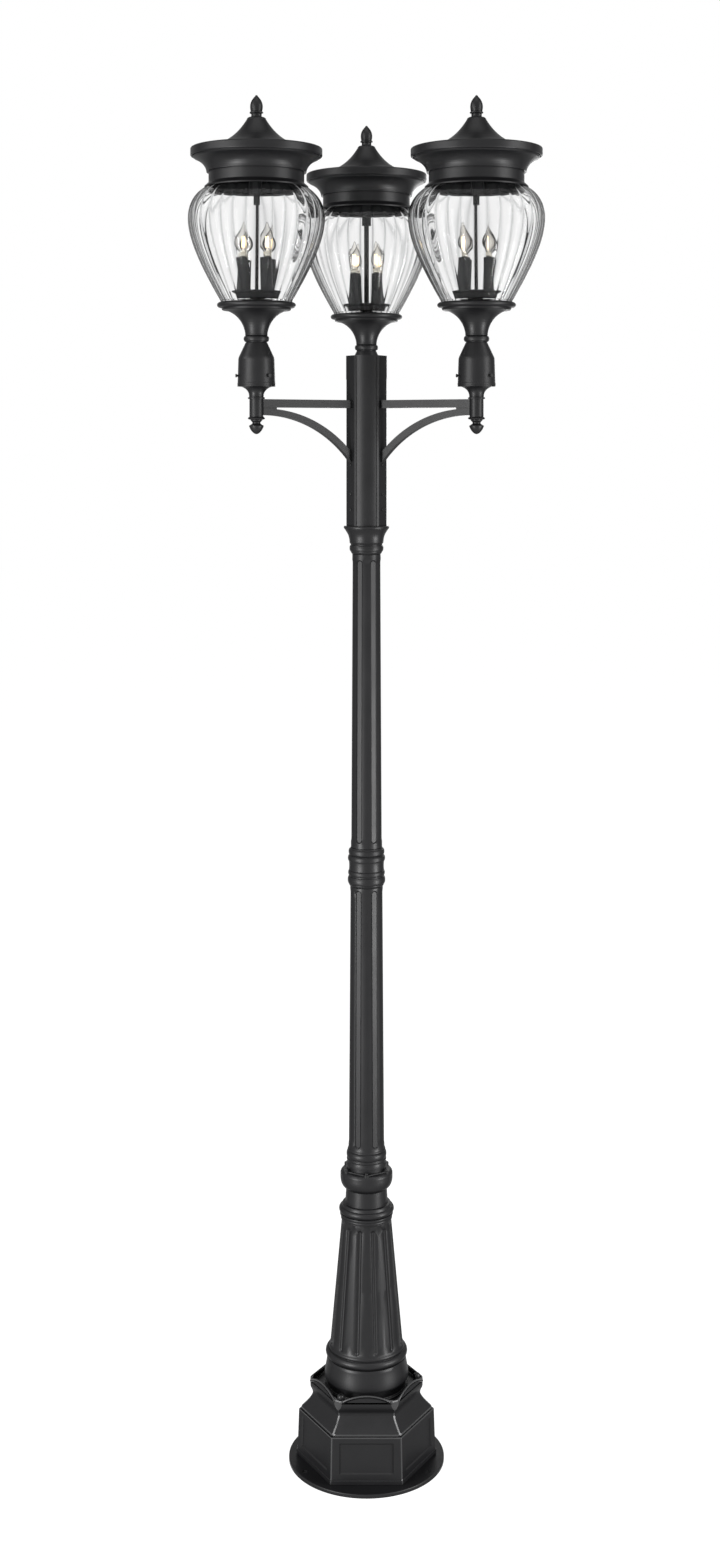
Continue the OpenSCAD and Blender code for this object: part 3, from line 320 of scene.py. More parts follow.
@dataclass(frozen=True)
class BulbGlass:
    """Thin clear bulb glass: nearly unseen face on, with a grey line where it turns away.

    Its IOR is below soda-lime glass's 1.5, because so thin a wall reflects little.
    """

    name: str = "thin_bulb_glass"
    middle: str = "#FDFCFA"
    edge: str = "#9E9C99"
    edge_blend: float = 0.3
    roughness: float = 0.04
    ior: float = 1.2

    def build(self) -> bpy.types.Material:
        """Build the node material.

        Returns:
            The finished material.
        """
        material, tree, output = blank_material(self.name)
        facing = add_node(tree, "ShaderNodeLayerWeight", {"Blend": self.edge_blend})
        tint = add_node(
            tree,
            "ShaderNodeMix",
            {"data_type": "RGBA", 6: srgb(self.middle), 7: srgb(self.edge)},
            {0: facing.outputs["Facing"]},
        )
        clear = add_node(tree, "ShaderNodeBsdfTransparent", None, {"Color": tint.outputs[2]})
        gloss = add_node(tree, "ShaderNodeBsdfGlossy", {"Roughness": self.roughness})
        fresnel = add_node(tree, "ShaderNodeFresnel", {"IOR": self.ior})
        mix = add_node(
            tree,
            "ShaderNodeMixShader",
            None,
            {0: fresnel.outputs["Fac"], 1: clear.outputs["BSDF"], 2: gloss.outputs["BSDF"]},
        )
        tree.links.new(mix.outputs["Shader"], output.inputs["Surface"])
        return material


@dataclass(frozen=True)
class Glow:
    """A lit filament: phosphor on a thin rod that glows warm white."""

    name: str = "lit_filament"
    colour: str = "#FFE3B0"
    roughness: float = 0.6
    strength: float = 2.4

    def build(self) -> bpy.types.Material:
        """Build the node material.

        Returns:
            The finished material.
        """
        material, tree, output = blank_material(self.name)
        body = add_node(
            tree,
            "ShaderNodeBsdfPrincipled",
            {
                "Base Color": srgb(self.colour),
                "Roughness": self.roughness,
                "Emission Color": srgb(self.colour),
                "Emission Strength": self.strength,
            },
        )
        tree.links.new(body.outputs["BSDF"], output.inputs["Surface"])
        return material


@dataclass(frozen=True)
class PlainMetal:
    """Bare or plated metal with fine turning or drawing marks, which stretch its highlights."""

    name: str
    colour: str
    roughness: float
    mark_mm: float = 0.8
    mark_height: float = 0.02 * MM

    def build(self) -> bpy.types.Material:
        """Build the node material.

        Returns:
            The finished material.
        """
        material, tree, output = blank_material(self.name)
        place = add_node(tree, "ShaderNodeTexCoord").outputs["Object"]
        marks = add_node(
            tree,
            "ShaderNodeTexNoise",
            {"Scale": per_metre(self.mark_mm), "Detail": 3.0},
            {"Vector": place},
        )
        rough = add_node(
            tree,
            "ShaderNodeMapRange",
            {"To Min": self.roughness * 0.75, "To Max": self.roughness * 1.25},
            {"Value": marks.outputs["Fac"]},
        )
        bump = add_node(
            tree,
            "ShaderNodeBump",
            {"Strength": 0.3, "Distance": self.mark_height},
            {"Height": marks.outputs["Fac"]},
        )
        body = add_node(
            tree,
            "ShaderNodeBsdfPrincipled",
            {"Base Color": srgb(self.colour), "Metallic": 1.0},
            {"Roughness": rough.outputs["Result"], "Normal": bump.outputs["Normal"]},
        )
        tree.links.new(body.outputs["BSDF"], output.inputs["Surface"])
        return material


@dataclass(frozen=True)
class Moulded:
    """Moulded plastic or rubber: an even colour, with a faint texture from the mould."""

    name: str
    colour: str
    roughness: float
    roughness_spread: float = 0.1
    texture_mm: float = 1.2
    texture_height: float = 0.03 * MM
    sheen: float = 0.5

    def build(self) -> bpy.types.Material:
        """Build the node material.

        Returns:
            The finished material.
        """
        material, tree, output = blank_material(self.name)
        place = add_node(tree, "ShaderNodeTexCoord").outputs["Object"]
        texture = add_node(
            tree,
            "ShaderNodeTexNoise",
            {"Scale": per_metre(self.texture_mm), "Detail": 2.0},
            {"Vector": place},
        )
        rough = add_node(
            tree,
            "ShaderNodeMapRange",
            {
                "To Min": self.roughness - self.roughness_spread / 2,
                "To Max": self.roughness + self.roughness_spread / 2,
            },
            {"Value": texture.outputs["Fac"]},
        )
        bump = add_node(
            tree,
            "ShaderNodeBump",
            {"Strength": 0.4, "Distance": self.texture_height},
            {"Height": texture.outputs["Fac"]},
        )
        body = add_node(
            tree,
            "ShaderNodeBsdfPrincipled",
            {"Base Color": srgb(self.colour), "Specular IOR Level": self.sheen},
            {"Roughness": rough.outputs["Result"], "Normal": bump.outputs["Normal"]},
        )
        tree.links.new(body.outputs["BSDF"], output.inputs["Surface"])
        return material


class Finish(Enum):
    """The finishes of the post light's pieces."""

    CASTING = PowderCoat("powder_coat_on_cast_aluminium")
    # Lighter and glossier than the casting: partly powder flowed thin on sharp corners, partly a
    # painted highlight that makes the chamfers show as bright lines.
    CORNER_COAT_AND_HIGHLIGHT = PowderCoat(
        "powder_coat_flowed_thin_on_corners",
        colour="#1C1C1D",
        thin_colour="#252526",
        roughness=0.25,
        grain_height=0.015 * MM,
        sheen=0.6,
        edge_sheen=0.3,
    )
    TUBE = PowderCoat("powder_coat_on_drawn_tube", grain_mm=1.2)
    SCREW = PowderCoat(
        "black_coated_screw", colour="#19191A", thin_colour="#242424", roughness=0.36
    )
    PIPE = PlainMetal("galvanised_pipe", "#9A9D9F", 0.45, mark_mm=2.5)
    LAMP_CAP = PlainMetal("nickel_lamp_cap", "#C9C4B8", 0.25)
    SHEATH = Moulded("rubber_cable_sheath", "#1A1A1A", 0.7)
    WIRE_NUT = Moulded("orange_nylon_wire_nut", "#B5502A", 0.4)
    SLEEVE = Moulded("black_candle_sleeve", "#171718", 0.5, sheen=0.2)
    STEM = Moulded("white_ceramic_stem", "#E9E4DA", 0.5)
    GLASS = BlownGlass()
    BULB = BulbGlass()
    FILAMENT = Glow()


class Paintbox:
    """Builds each finish once and hands it out."""

    def __init__(self) -> None:
        """Start with no material built."""
        self._built: dict[Finish, bpy.types.Material] = {}

    def get(self, finish: Finish) -> bpy.types.Material:
        """Give the material of a finish.

        Args:
            finish: The finish.

        Returns:
            Its material, built at the first call.
        """
        if finish not in self._built:
            self._built[finish] = finish.value.build()
        return self._built[finish]

    def paint(self, piece: bpy.types.Object, finish: Finish) -> None:
        """Give a piece one finish all over.

        Args:
            piece: The mesh object.
            finish: The finish that it gets.
        """
        piece.data.materials.clear()
        piece.data.materials.append(self.get(finish))


def only(piece: bpy.types.Object) -> None:
    """Select one object and make it active.

    Args:
        piece: The object.
    """
    bpy.ops.object.select_all(action="DESELECT")
    piece.select_set(True)
    bpy.context.view_layer.objects.active = piece


def settle(piece: bpy.types.Object) -> None:
    """Move an object's place into its mesh, so that the object sits at the origin."""
    only(piece)
    bpy.ops.object.transform_apply(location=True, rotation=True, scale=True)


def smooth(piece: bpy.types.Object, degrees: float) -> None:
    """Shade a piece smooth, but for edges sharper than an angle."""
    only(piece)
    bpy.ops.object.shade_smooth_by_angle(angle=math.radians(degrees))


def join(name: str, pieces: list[bpy.types.Object]) -> bpy.types.Object:
    """Join pieces into one object.

    Args:
        name: The name of the result.
        pieces: The mesh objects; the first one keeps its place.

    Returns:
        The joined object.
    """
    only(pieces[0])
    for piece in pieces[1:]:
        piece.select_set(True)
    bpy.ops.object.join()
    joined = bpy.context.object
    joined.name = name
    return joined


def copy_to(pattern: bpy.types.Object, name: str, place: Place) -> bpy.types.Object:
    """Copy a pattern, its mesh too, and move the copy within its mesh.

    Args:
        pattern: The mesh object to copy.
        name: The copy's name.
        place: Where the pattern's origin goes.

    Returns:
        The copy.
    """
    only(pattern)
    bpy.ops.object.duplicate()
    copy = bpy.context.object
    copy.name = name
    copy.location = place
    settle(copy)
    return copy


def discard(pattern: bpy.types.Object) -> None:
    """Delete a pattern that all its copies have been made of, with its mesh."""
    bpy.data.meshes.remove(pattern.data)


def ring_of(
    pattern: bpy.types.Object, count: int, radius_mm: float, first_at: float
) -> bpy.types.Object:
    """Use a pattern up in a ring of copies round the Z axis, none of them turned.

    Args:
        pattern: The mesh object to copy.
        count: How many copies stand in the ring.
        radius_mm: The ring's radius in millimetres.
        first_at: The first copy's direction in degrees.

    Returns:
        The copies, joined under the pattern's name.
    """
    name = pattern.name
    copies = []
    for k in range(count):
        angle = math.radians(first_at + 360 / count * k)
        place = (radius_mm * MM * math.cos(angle), radius_mm * MM * math.sin(angle), 0.0)
        copies.append(copy_to(pattern, f"{name}_{k}", place))
    discard(pattern)
    return join(name, copies)


def bezier(start: Pair, leave: Pair, arrive: Pair, end: Pair, steps: int) -> list[Pair]:
    """Give points of a smooth curve through two ends, drawn by two control points.

    Args:
        start: The first end.
        leave: The control point that the curve leaves towards.
        arrive: The control point that it arrives from.
        end: The second end.
        steps: The number of steps.

    Returns:
        The points, both ends among them.
    """
    points = []
    for i in range(steps + 1):
        t = i / steps
        s = 1 - t
        weights = (s**3, 3 * s * s * t, 3 * s * t * t, t**3)
        corners = (start, leave, arrive, end)
        x, y = (sum(w * corner[k] for w, corner in zip(weights, corners)) for k in (0, 1))
        points.append((x, y))
    return points


def circle(name: str, points: int, start: Pair) -> bpy.types.Object:
    """Start a turned shape with a circle round the Z axis, all selected in edit mode.

    Args:
        name: The object's name.
        points: The number of points round it.
        start: Its radius and height in millimetres.

    Returns:
        The object.
    """
    bpy.ops.object.select_all(action="DESELECT")
    bpy.ops.mesh.primitive_circle_add(
        vertices=points, radius=start[0] * MM, location=(0, 0, start[1] * MM)
    )
    piece = bpy.context.object
    piece.name = name
    settle(piece)
    bpy.ops.object.mode_set(mode="EDIT")
    bpy.ops.mesh.select_mode(type="VERT")
    bpy.ops.mesh.select_all(action="SELECT")
    return piece


def raise_ring(start: Pair, end: Pair) -> None:
    """Extrude the selected ring round the Z axis to another radius and height.

    Args:
        start: Its radius and height in millimetres.
        end: Those of the new ring.
    """
    bpy.ops.mesh.extrude_region_move(
        TRANSFORM_OT_translate={"value": (0, 0, (end[1] - start[1]) * MM)}
    )
    scale = end[0] / start[0]
    bpy.ops.transform.resize(value=(scale, scale, 1), center_override=(0, 0, 0))


@dataclass(frozen=True)
class Chamfer:
    """How the corners of a piece are eased.

    Edges sharper than one angle get a flat chamfer, where they are long enough, and edges
    flatter than another angle are shaded smooth. The chamfers may get a lighter, glossier coat:
    partly powder flowed thin, partly a painted highlight.
    """

    width_mm: float
    sharper_than: float
    smooth_below: float
    thin_coat_and_highlight: bool = False
    shortest_mm: float = 0.0


class Edges(Enum):
    """The kinds of corner that the pieces have; those left as turned keep the CAD's shading."""

    AS_TURNED = None
    CAST = Chamfer(1.9, 50.0, 22.0, thin_coat_and_highlight=True, shortest_mm=7.0)
    CAST_THIN = Chamfer(2.1, 26.0, 12.0, thin_coat_and_highlight=True)
    FLUTED = Chamfer(1.3, 60.0, 36.0)
    GROOVED = Chamfer(1.0, 38.0, 36.0)


@dataclass
class Dresser:
    """Puts finished skins over the CAD solids.

    Points closer than weld are merged before a piece is eased, and faces that meet flatter
    than flat_below, in degrees, become one.
    """

    paint: Paintbox
    weld: float = 0.02 * MM
    flat_below: float = 0.4

    def skin(self, node: str, body: str, finish: Finish, edges: Edges = Edges.AS_TURNED) -> None:
        """Cover a CAD node with a skin of the same shape, its corners eased.

        Args:
            node: The CAD node.
            body: The body that the node rides on.
            finish: The finish of the skin.
            edges: How its corners are eased.
        """
        skin = bpy.data.objects.new(f"{node}_skin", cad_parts[node].data.copy())
        bpy.context.scene.collection.objects.link(skin)
        self.paint.paint(skin, finish)
        if edges.value:
            self._ease(skin, edges.value)
        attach(skin, body)
        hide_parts(node)
        log.info("skin %s", skin.name)

    def _ease(self, piece: bpy.types.Object, chamfer: Chamfer) -> None:
        """Put a flat chamfer on a piece's sharp corners.

        A flat chamfer catches a lamp over its whole width, so it shows as a fine bright line.

        Args:
            piece: The piece.
            chamfer: How its corners are eased.
        """
        only(piece)
        bpy.ops.mesh.customdata_custom_splitnormals_clear()
        # The chamfers get the lighter corner coat, which is partly thin powder and partly a painted
        # highlight.
        if chamfer.thin_coat_and_highlight:
            piece.data.materials.append(self.paint.get(Finish.CORNER_COAT_AND_HIGHLIGHT))
            piece.active_material_index = 1
        bpy.ops.object.mode_set(mode="EDIT")
        bpy.ops.mesh.select_all(action="SELECT")
        bpy.ops.mesh.remove_doubles(threshold=self.weld)
        bpy.ops.mesh.dissolve_limited(angle_limit=math.radians(self.flat_below))
        bpy.ops.mesh.select_all(action="DESELECT")
        bpy.ops.mesh.select_mode(type="EDGE")
        bpy.ops.mesh.edges_select_sharp(sharpness=math.radians(chamfer.sharper_than))
        bpy.ops.object.mode_set(mode="OBJECT")
        points = piece.data.vertices
        for edge in piece.data.edges:
            length = (points[edge.vertices[0]].co - points[edge.vertices[1]].co).length
            if length < chamfer.shortest_mm * MM:
                edge.select = False
        bpy.ops.object.mode_set(mode="EDIT")
        bpy.ops.mesh.bevel(offset=chamfer.width_mm * MM, segments=1, clamp_overlap=False)
        if chamfer.thin_coat_and_highlight:
            bpy.ops.object.material_slot_assign()
        bpy.ops.object.mode_set(mode="OBJECT")
        smooth(piece, chamfer.smooth_below)

    def hidden(self, node: str, finish: Finish) -> None:
        """Finish a CAD node that stays as it is."""
        self.paint.paint(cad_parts[node], finish)
        log.info("node %s", node)


@dataclass
class Post:
    """The post: anchor plate, base, pedestal, shafts, capital, head and arms."""

    dresser: Dresser
    skins: tuple[tuple[str, Finish, Edges], ...] = (
        ("anchor_plate", Finish.CASTING, Edges.AS_TURNED),
        ("hex_base", Finish.CASTING, Edges.CAST),
        ("base_shroud", Finish.CASTING, Edges.CAST_THIN),
        ("base_screws", Finish.SCREW, Edges.AS_TURNED),
        ("pedestal", Finish.CASTING, Edges.GROOVED),
        ("pedestal_collar", Finish.CASTING, Edges.AS_TURNED),
        ("collar_screws", Finish.SCREW, Edges.AS_TURNED),
        ("lower_shaft", Finish.CASTING, Edges.FLUTED),
        ("shaft_coupling", Finish.CASTING, Edges.AS_TURNED),
        ("upper_shaft", Finish.CASTING, Edges.FLUTED),
        ("capital", Finish.CASTING, Edges.AS_TURNED),
        ("head_tube", Finish.CASTING, Edges.AS_TURNED),
        ("head_cap", Finish.CASTING, Edges.AS_TURNED),
        ("head_screws", Finish.SCREW, Edges.AS_TURNED),
    )
    arm_skins: tuple[tuple[str, Finish], ...] = (
        ("arm_bar", Finish.TUBE),
        ("arm_brace", Finish.TUBE),
        ("arm_socket", Finish.CASTING),
        ("arm_drop", Finish.CASTING),
    )
    inside: tuple[tuple[str, Finish], ...] = (
        ("core_pipe", Finish.PIPE),
        ("supply_cable", Finish.SHEATH),
        ("wire_nuts", Finish.WIRE_NUT),
        ("arm_leads", Finish.SHEATH),
    )

    def build(self) -> None:
        """Dress the whole post."""
        for node, finish, edges in self.skins:
            self.dresser.skin(node, "post", finish, edges)
        for side in SIDES:
            for part, finish in self.arm_skins:
                self.dresser.skin(f"{part}_{side}", "post", finish)
        for node, finish in self.inside:
            self.dresser.hidden(node, finish)


@dataclass
class RibbedGlass:
    """The lanterns' glass: an urn blown into a ribbed mould, open at its foot and its mouth.

    Lengths are in millimetres, and heights count from the foot. The side leaves a straight
    foot, sweeps out and rises to the belly, and the shoulder is part of an ellipse that ends
    at the mouth. The valleys between the ribs go in by rib_share of the radius, and the inner
    face follows them by inner_rib_share, so the wall is nearly even and bends the view little.
    """

    dresser: Dresser
    foot_r: float = 78.0
    foot_h: float = 7.0
    foot_ease: Pair = (0.5, 1.0)
    sweep_out: float = 34.0
    sweep_share: float = 0.37
    belly_r: float = 149.3
    belly_h: float = 180.5
    belly_share: float = 0.29
    shoulder_centre_r: float = 82.0
    shoulder_rise: float = 73.0
    mouth_r: float = 101.0
    thickness: float = 3.5
    side_steps: int = 22
    shoulder_steps: int = 14
    ribs: int = 32
    steps_per_rib: int = 10
    rib_share: float = 0.018
    inner_rib_share: float = 0.86
    crease_power: int = 5
    smooth_below: float = 60.0

    def outline(self, inside: float) -> list[Pair]:
        """Give the half section's points, from the foot up.

        Args:
            inside: The distance inside the outer face, in millimetres.

        Returns:
            Radius and height of each point, in millimetres.
        """
        foot, belly = self.foot_r - inside, self.belly_r - inside
        top = self.foot_h + self.belly_h
        points = [(foot, 0.0), (foot, self.foot_h)]
        points += bezier(
            (foot + self.foot_ease[0], self.foot_h + self.foot_ease[1]),
            (foot + self.sweep_out, self.belly_h * self.sweep_share),
            (belly, top - self.belly_h * self.belly_share),
            (belly, top),
            self.side_steps,
        )
        across = self.belly_r - self.shoulder_centre_r
        stop = math.acos((self.mouth_r - self.shoulder_centre_r) / across)
        for i in range(1, self.shoulder_steps + 1):
            angle = stop * i / self.shoulder_steps
            radius = self.shoulder_centre_r + (across - inside) * math.cos(angle)
            points.append((radius, top + (self.shoulder_rise - inside) * math.sin(angle)))
        return points

    def model(self) -> bpy.types.Object:
        """Model one glass, standing on the origin.

        Returns:
            The glass, as a pattern for the lanterns' own.
        """
        outer = self.outline(0.0)
        inner = self.outline(self.thickness)[::-1]
        glass = circle("ribbed_glass", self.ribs * self.steps_per_rib, outer[0])
        self._rib(glass, self.rib_share)
        path = outer + inner
        for start, end in zip(path, path[1:]):
            raise_ring(start, end)
            if end == inner[0]:
                self._rib(glass, self.rib_share * (self.inner_rib_share - 1))
        self._close_foot(glass)
        bpy.ops.mesh.select_all(action="SELECT")
        bpy.ops.mesh.normals_make_consistent(inside=False)
        bpy.ops.object.mode_set(mode="OBJECT")
        self._mark_creases(glass)
        smooth(glass, self.smooth_below)
        return glass

    def fit(self, pattern: bpy.types.Object, side: str) -> None:
        """Put a copy of the glass into a lantern.

        Args:
            pattern: The glass that model gave.
            side: The lantern's side.
        """
        low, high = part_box(f"glass_{side}")
        place = ((low.x + high.x) / 2, (low.y + high.y) / 2, low.z)
        glass = copy_to(pattern, f"ribbed_glass_{side}", place)
        self.dresser.paint.paint(glass, Finish.GLASS)
        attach(glass, f"lantern_{side}")
        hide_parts(f"glass_{side}")
        log.info("glass %s", glass.name)

    def _steps_from_valley(self, co: Vector) -> int:
        """Give how far round the glass a point lies from the nearest valley between two ribs.

        Args:
            co: The point's place.

        Returns:
            The number of steps, from 0 in the valley to half of steps_per_rib on the rib.
        """
        turn = math.atan2(co.y, co.x) / (2 * math.pi)
        steps = round(turn * self.ribs * self.steps_per_rib) + self.steps_per_rib // 2
        past = steps % self.steps_per_rib
        return min(past, self.steps_per_rib - past)

    def _rib(self, glass: bpy.types.Object, share: float) -> None:
        """Pull the selected ring in between its ribs, most in the valleys.

        Args:
            glass: The mesh in edit mode, with one ring of selected points.
            share: How deep the valleys are, as a share of the radius; less than 0 fills them.
        """
        glass.update_from_editmode()
        ring = [v.index for v in glass.data.vertices if v.select]
        half = self.steps_per_rib // 2
        for step in range(half):
            points = glass.data.vertices
            self._select(glass, [i for i in ring if self._steps_from_valley(points[i].co) == step])
            scale = 1 - share * (1 - step / half) ** 2
            bpy.ops.transform.resize(value=(scale, scale, 1), center_override=(0, 0, 0))
        self._select(glass, ring)

    def _select(self, glass: bpy.types.Object, points: list[int]) -> None:
        """Select points, and the edges between them, of a mesh in edit mode.

        Args:
            glass: The mesh.
            points: The points' numbers.
        """
        wanted = set(points)
        bpy.ops.object.mode_set(mode="OBJECT")
        for vertex in glass.data.vertices:
            vertex.select = vertex.index in wanted
        for edge in glass.data.edges:
            edge.select = edge.vertices[0] in wanted and edge.vertices[1] in wanted
        for polygon in glass.data.polygons:
            polygon.select = False
        bpy.ops.object.mode_set(mode="EDIT")

    def _close_foot(self, glass: bpy.types.Object) -> None:
        """Bridge the two rims at the foot, whose points have fewer than four faces.

        Args:
            glass: The mesh in edit mode.
        """
        glass.update_from_editmode()
        faces_at = dict.fromkeys(range(len(glass.data.vertices)), 0)
        for polygon in glass.data.polygons:
            for point in polygon.vertices:
                faces_at[point] += 1
        self._select(glass, [point for point, faces in faces_at.items() if faces < 4])
        bpy.ops.mesh.bridge_edge_loops()

    def _mark_creases(self, glass: bpy.types.Object) -> None:
        """Write how near each point is to a crease between two ribs.

        Args:
            glass: The mesh in object mode.
        """
        half = self.steps_per_rib // 2
        marks = glass.data.attributes.new(CREASE, "FLOAT", "POINT")
        for vertex, mark in zip(glass.data.vertices, marks.data):
            mark.value = (1 - self._steps_from_valley(vertex.co) / half) ** self.crease_power


@dataclass
class CandleBulbs:
    """A lantern's bulbs: flame-tip glass on a nickel cap, with glowing rods inside.

    Outlines are radius and height in millimetres, the height from a level that lies height_mm
    under the tips. The glass's outline is two curves that meet at its widest place.
    """

    dresser: Dresser
    count: int = 4
    ring_r: float = 38.0
    first_at: float = -140.0
    height_mm: float = 78.0
    low_glass: tuple[Pair, ...] = ((6.2, 11.0), (8.4, 19.0), (15.0, 21.0), (15.0, 33.62))
    high_glass: tuple[Pair, ...] = ((15.0, 33.62), (15.0, 48.62), (2.6, 59.0), (1.5, 77.0))
    low_steps: int = 9
    high_steps: int = 14
    low_cap: tuple[Pair, ...] = ((6.0, -24.0), (6.0, 2.0), (6.9, 3.2))
    high_cap: tuple[Pair, ...] = ((6.9, 10.0), (6.3, 11.4), (4.5, 12.0))
    stem: tuple[Pair, ...] = ((3.4, 11.5), (2.6, 14.0), (1.5, 18.0), (1.2, 23.0))
    rod: tuple[Pair, ...] = ((0.35, 21.0), (0.7, 22.0), (0.7, 45.0), (0.35, 46.0))
    rods: int = 3
    rod_ring_r: float = 2.2
    first_rod_at: float = 45.0
    glass_points: int = 32
    stem_points: int = 16
    rod_points: int = 8
    smooth_below: float = 50.0

    def _turned(self, name: str, outline: tuple[Pair, ...], points: int) -> bpy.types.Object:
        """Raise a turned skin from a circle, ring by ring, and close its top.

        Args:
            name: The object's name.
            outline: Radius and height in millimetres, from the foot up.
            points: The number of points round it.

        Returns:
            The object.
        """
        piece = circle(name, points, outline[0])
        for start, end in zip(outline, outline[1:]):
            raise_ring(start, end)
        bpy.ops.mesh.merge(type="CENTER")
        bpy.ops.mesh.select_all(action="SELECT")
        bpy.ops.mesh.normals_make_consistent(inside=False)
        bpy.ops.object.mode_set(mode="OBJECT")
        smooth(piece, self.smooth_below)
        return piece

    def model(self) -> dict[str, bpy.types.Object]:
        """Model one lantern's bulbs round the Z axis, with an object for each finish.

        Returns:
            The patterns for the lanterns' own, by name.
        """
        flame = bezier(*self.low_glass, self.low_steps)
        flame += bezier(*self.high_glass, self.high_steps)[1:]
        filament = self._turned("bulb_filaments", self.rod, self.rod_points)
        patterns = (
            self._turned("bulb_glass", tuple(flame), self.glass_points),
            self._turned("bulb_caps", self.low_cap + self.high_cap, self.glass_points),
            self._turned("bulb_stems", self.stem, self.stem_points),
            ring_of(filament, self.rods, self.rod_ring_r, self.first_rod_at),
        )
        rings = [ring_of(p, self.count, self.ring_r, self.first_at) for p in patterns]
        return {ring.name: ring for ring in rings}

    def fit(self, patterns: dict[str, bpy.types.Object], side: str) -> None:
        """Put a copy of the bulbs into a lantern, round its centre rod.

        Args:
            patterns: The patterns that model gave.
            side: The lantern's side.
        """
        low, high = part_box(f"tie_rod_{side}")
        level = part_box(f"bulbs_{side}")[1].z - self.height_mm * MM
        place = ((low.x + high.x) / 2, (low.y + high.y) / 2, level)
        for name, finish in (
            ("bulb_glass", Finish.BULB),
            ("bulb_caps", Finish.LAMP_CAP),
            ("bulb_stems", Finish.STEM),
            ("bulb_filaments", Finish.FILAMENT),
        ):
            piece = copy_to(patterns[name], f"{name}_{side}", place)
            self.dresser.paint.paint(piece, finish)
            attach(piece, f"lantern_{side}")
            if finish is Finish.BULB:
                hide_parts(f"bulbs_{side}")
            log.info("bulb piece %s", piece.name)


@dataclass
class Lanterns:
    """The three urn lanterns: fitter, pan, candles, glass, bulbs, roof and finial."""

    dresser: Dresser
    skins: tuple[tuple[str, str, Finish], ...] = (
        ("fitter", "lantern", Finish.CASTING),
        ("fitter_screws", "lantern", Finish.SCREW),
        ("pan", "lantern", Finish.CASTING),
        ("candle_plate", "lantern", Finish.CASTING),
        ("candles", "lantern", Finish.SLEEVE),
        ("tie_rod", "lantern", Finish.SCREW),
        ("roof", "roof", Finish.CASTING),
        ("finial", "finial", Finish.CASTING),
    )

    def build(self) -> None:
        """Dress every lantern; the glass and the bulbs are modelled once and copied."""
        glass, bulbs = RibbedGlass(self.dresser), CandleBulbs(self.dresser)
        glass_pattern, bulb_patterns = glass.model(), bulbs.model()
        for side in SIDES:
            for part, body, finish in self.skins:
                self.dresser.skin(f"{part}_{side}", f"{body}_{side}", finish)
            glass.fit(glass_pattern, side)
            bulbs.fit(bulb_patterns, side)
        for pattern in (glass_pattern, *bulb_patterns.values()):
            discard(pattern)


@dataclass(frozen=True)
class Lamp:
    """A soft rectangular lamp: its place, its width and height in metres, and its watts."""

    name: str
    place: Place
    size: Pair
    power: float


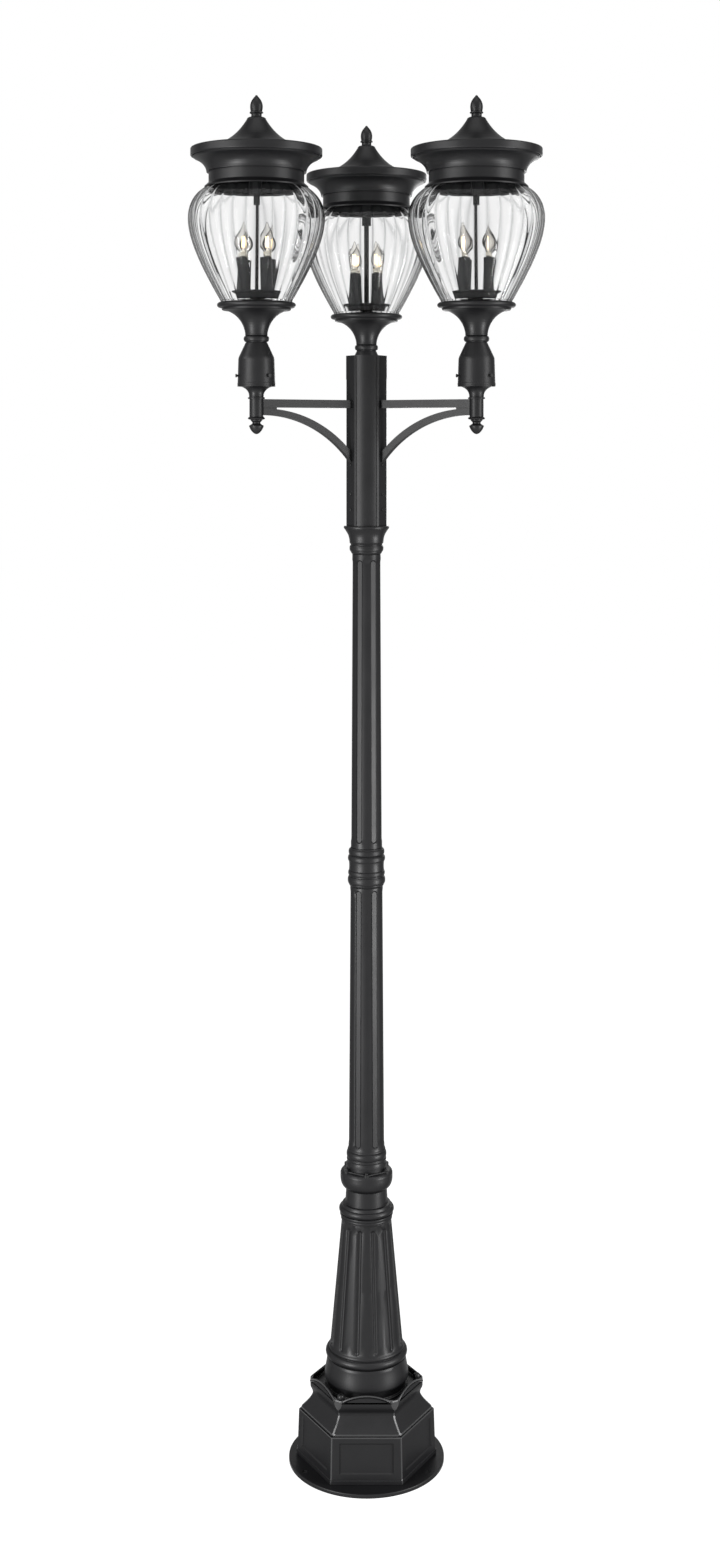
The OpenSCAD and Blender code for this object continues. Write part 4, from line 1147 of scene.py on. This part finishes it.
@dataclass
class Studio:
    """Camera, lamps, floor and backdrop."""

    lens: float = 44.8
    sensor: float = 36.0
    distance: float = 4.36
    eye: float = 2.29075
    # The post stands 6.5 pixels beside the middle of the photograph, which is 1558 high.
    shift_x: float = -6.5 / 1558
    shift_y: float = -0.219
    lamps: tuple[Lamp, ...] = (
        Lamp("key_strip", (-2.6, -2.35, 1.9), (1.8, 3.2), 130.0),
        Lamp("fill_strip", (3.2, -1.4, 1.9), (1.4, 3.2), 98.0),
        Lamp("low_key", (-2.45, -2.3, 0.62), (0.8, 1.2), 100.0),
        Lamp("low_fill", (2.9, -1.3, 0.62), (0.8, 1.2), 90.0),
        Lamp("high_left", (-2.4, -0.7, 3.7), (1.2, 1.2), 30.0),
        Lamp("high_right", (2.4, -0.7, 3.7), (1.2, 1.2), 30.0),
        Lamp("top_panel", (0.0, -0.6, 6.4), (3.0, 3.0), 50.0),
        Lamp("back_panel", (0.6, 3.4, 2.6), (1.6, 1.6), 45.0),
    )
    aim_z: float = 1.4
    world_light: float = 0.25
    floor_r: float = 30.0
    floor_points: int = 96
    floor_grey: float = 0.9
    floor_glow: float = 1.17
    glow_share: float = 0.82

    def camera(self) -> None:
        """Set the camera at the photograph's angle: level, straight ahead of the front."""
        data = bpy.data.cameras.new("camera")
        camera = bpy.data.objects.new("camera", data)
        bpy.context.scene.collection.objects.link(camera)
        data.sensor_fit = "VERTICAL"
        data.sensor_height = self.sensor
        data.lens = self.lens
        data.shift_x = self.shift_x
        data.shift_y = self.shift_y
        data.clip_end = 100.0
        camera.location = (0, -self.distance, self.eye)
        camera.rotation_euler = (math.pi / 2, 0, 0)
        bpy.context.scene.camera = camera

    def lights(self) -> None:
        """Stand the lamps round the post, each aimed at its middle."""
        for lamp in self.lamps:
            data = bpy.data.lights.new(lamp.name, "AREA")
            data.shape = "RECTANGLE"
            data.size, data.size_y = lamp.size
            data.energy = lamp.power
            light = bpy.data.objects.new(lamp.name, data)
            bpy.context.scene.collection.objects.link(light)
            # The lamps aren't seen through the glass, but they light what is behind it.
            light.visible_transmission = False
            light.location = lamp.place
            aim = Vector((0, 0, self.aim_z)) - Vector(lamp.place)
            light.rotation_euler = aim.to_track_quat("-Z", "Y").to_euler()

    def world(self) -> None:
        """Give soft grey light all round, and plain white where it is seen."""
        world = bpy.data.worlds.new("studio")
        bpy.context.scene.world = world
        world.use_nodes = True
        tree = world.node_tree
        tree.nodes.clear()
        output = add_node(tree, "ShaderNodeOutputWorld")
        light = add_node(
            tree, "ShaderNodeBackground", {"Color": (1, 1, 1, 1), "Strength": self.world_light}
        )
        white = add_node(tree, "ShaderNodeBackground", {"Color": (1, 1, 1, 1), "Strength": 1.0})
        mix = add_node(
            tree,
            "ShaderNodeMixShader",
            None,
            {0: self._seen(tree), 1: light.outputs["Background"], 2: white.outputs["Background"]},
        )
        tree.links.new(mix.outputs["Shader"], output.inputs["Surface"])

    def _seen(self, tree: bpy.types.NodeTree, level: float = 1.0) -> bpy.types.NodeSocket:
        """Give a level for rays that show the background, and 0 for those that light things.

        Args:
            tree: The node tree.
            level: The value for camera, glossy and transmission rays.

        Returns:
            The socket with that value.
        """
        path = add_node(tree, "ShaderNodeLightPath")
        total = path.outputs["Is Camera Ray"]
        for name in ("Is Glossy Ray", "Is Transmission Ray"):
            most = add_node(
                tree, "ShaderNodeMath", {"operation": "MAXIMUM"}, {0: total, 1: path.outputs[name]}
            )
            total = most.outputs["Value"]
        scaled = add_node(tree, "ShaderNodeMath", {"operation": "MULTIPLY", 1: level}, {0: total})
        return scaled.outputs["Value"]

    def floor(self) -> None:
        """Lay a pale floor that keeps the object's shadow."""
        bpy.ops.object.select_all(action="DESELECT")
        bpy.ops.mesh.primitive_circle_add(
            vertices=self.floor_points, radius=self.floor_r, fill_type="NGON", location=(0, 0, 0)
        )
        floor = bpy.context.object
        floor.name = "studio_floor"
        material, tree, output = blank_material("pale_floor")
        grey = (self.floor_grey, self.floor_grey, self.floor_grey, 1)
        lit = add_node(tree, "ShaderNodeBsdfDiffuse", {"Color": grey})
        glow = add_node(
            tree,
            "ShaderNodeEmission",
            {"Color": (1, 1, 1, 1)},
            {"Strength": self._seen(tree, self.floor_glow)},
        )
        mix = add_node(
            tree,
            "ShaderNodeMixShader",
            {0: self.glow_share},
            {1: lit.outputs["BSDF"], 2: glow.outputs["Emission"]},
        )
        tree.links.new(mix.outputs["Shader"], output.inputs["Surface"])
        floor.data.materials.append(material)

    def build(self) -> None:
        """Set up the whole studio."""
        self.camera()
        self.lights()
        self.world()
        self.floor()
        bpy.context.scene.view_settings.view_transform = "Standard"


def main() -> None:
    """Build the studio and dress the post light."""
    bpy.ops.object.select_all(action="DESELECT")
    Studio().build()
    dresser = Dresser(Paintbox())
    Post(dresser).build()
    Lanterns(dresser).build()


if __name__ == "__main__":
    main()
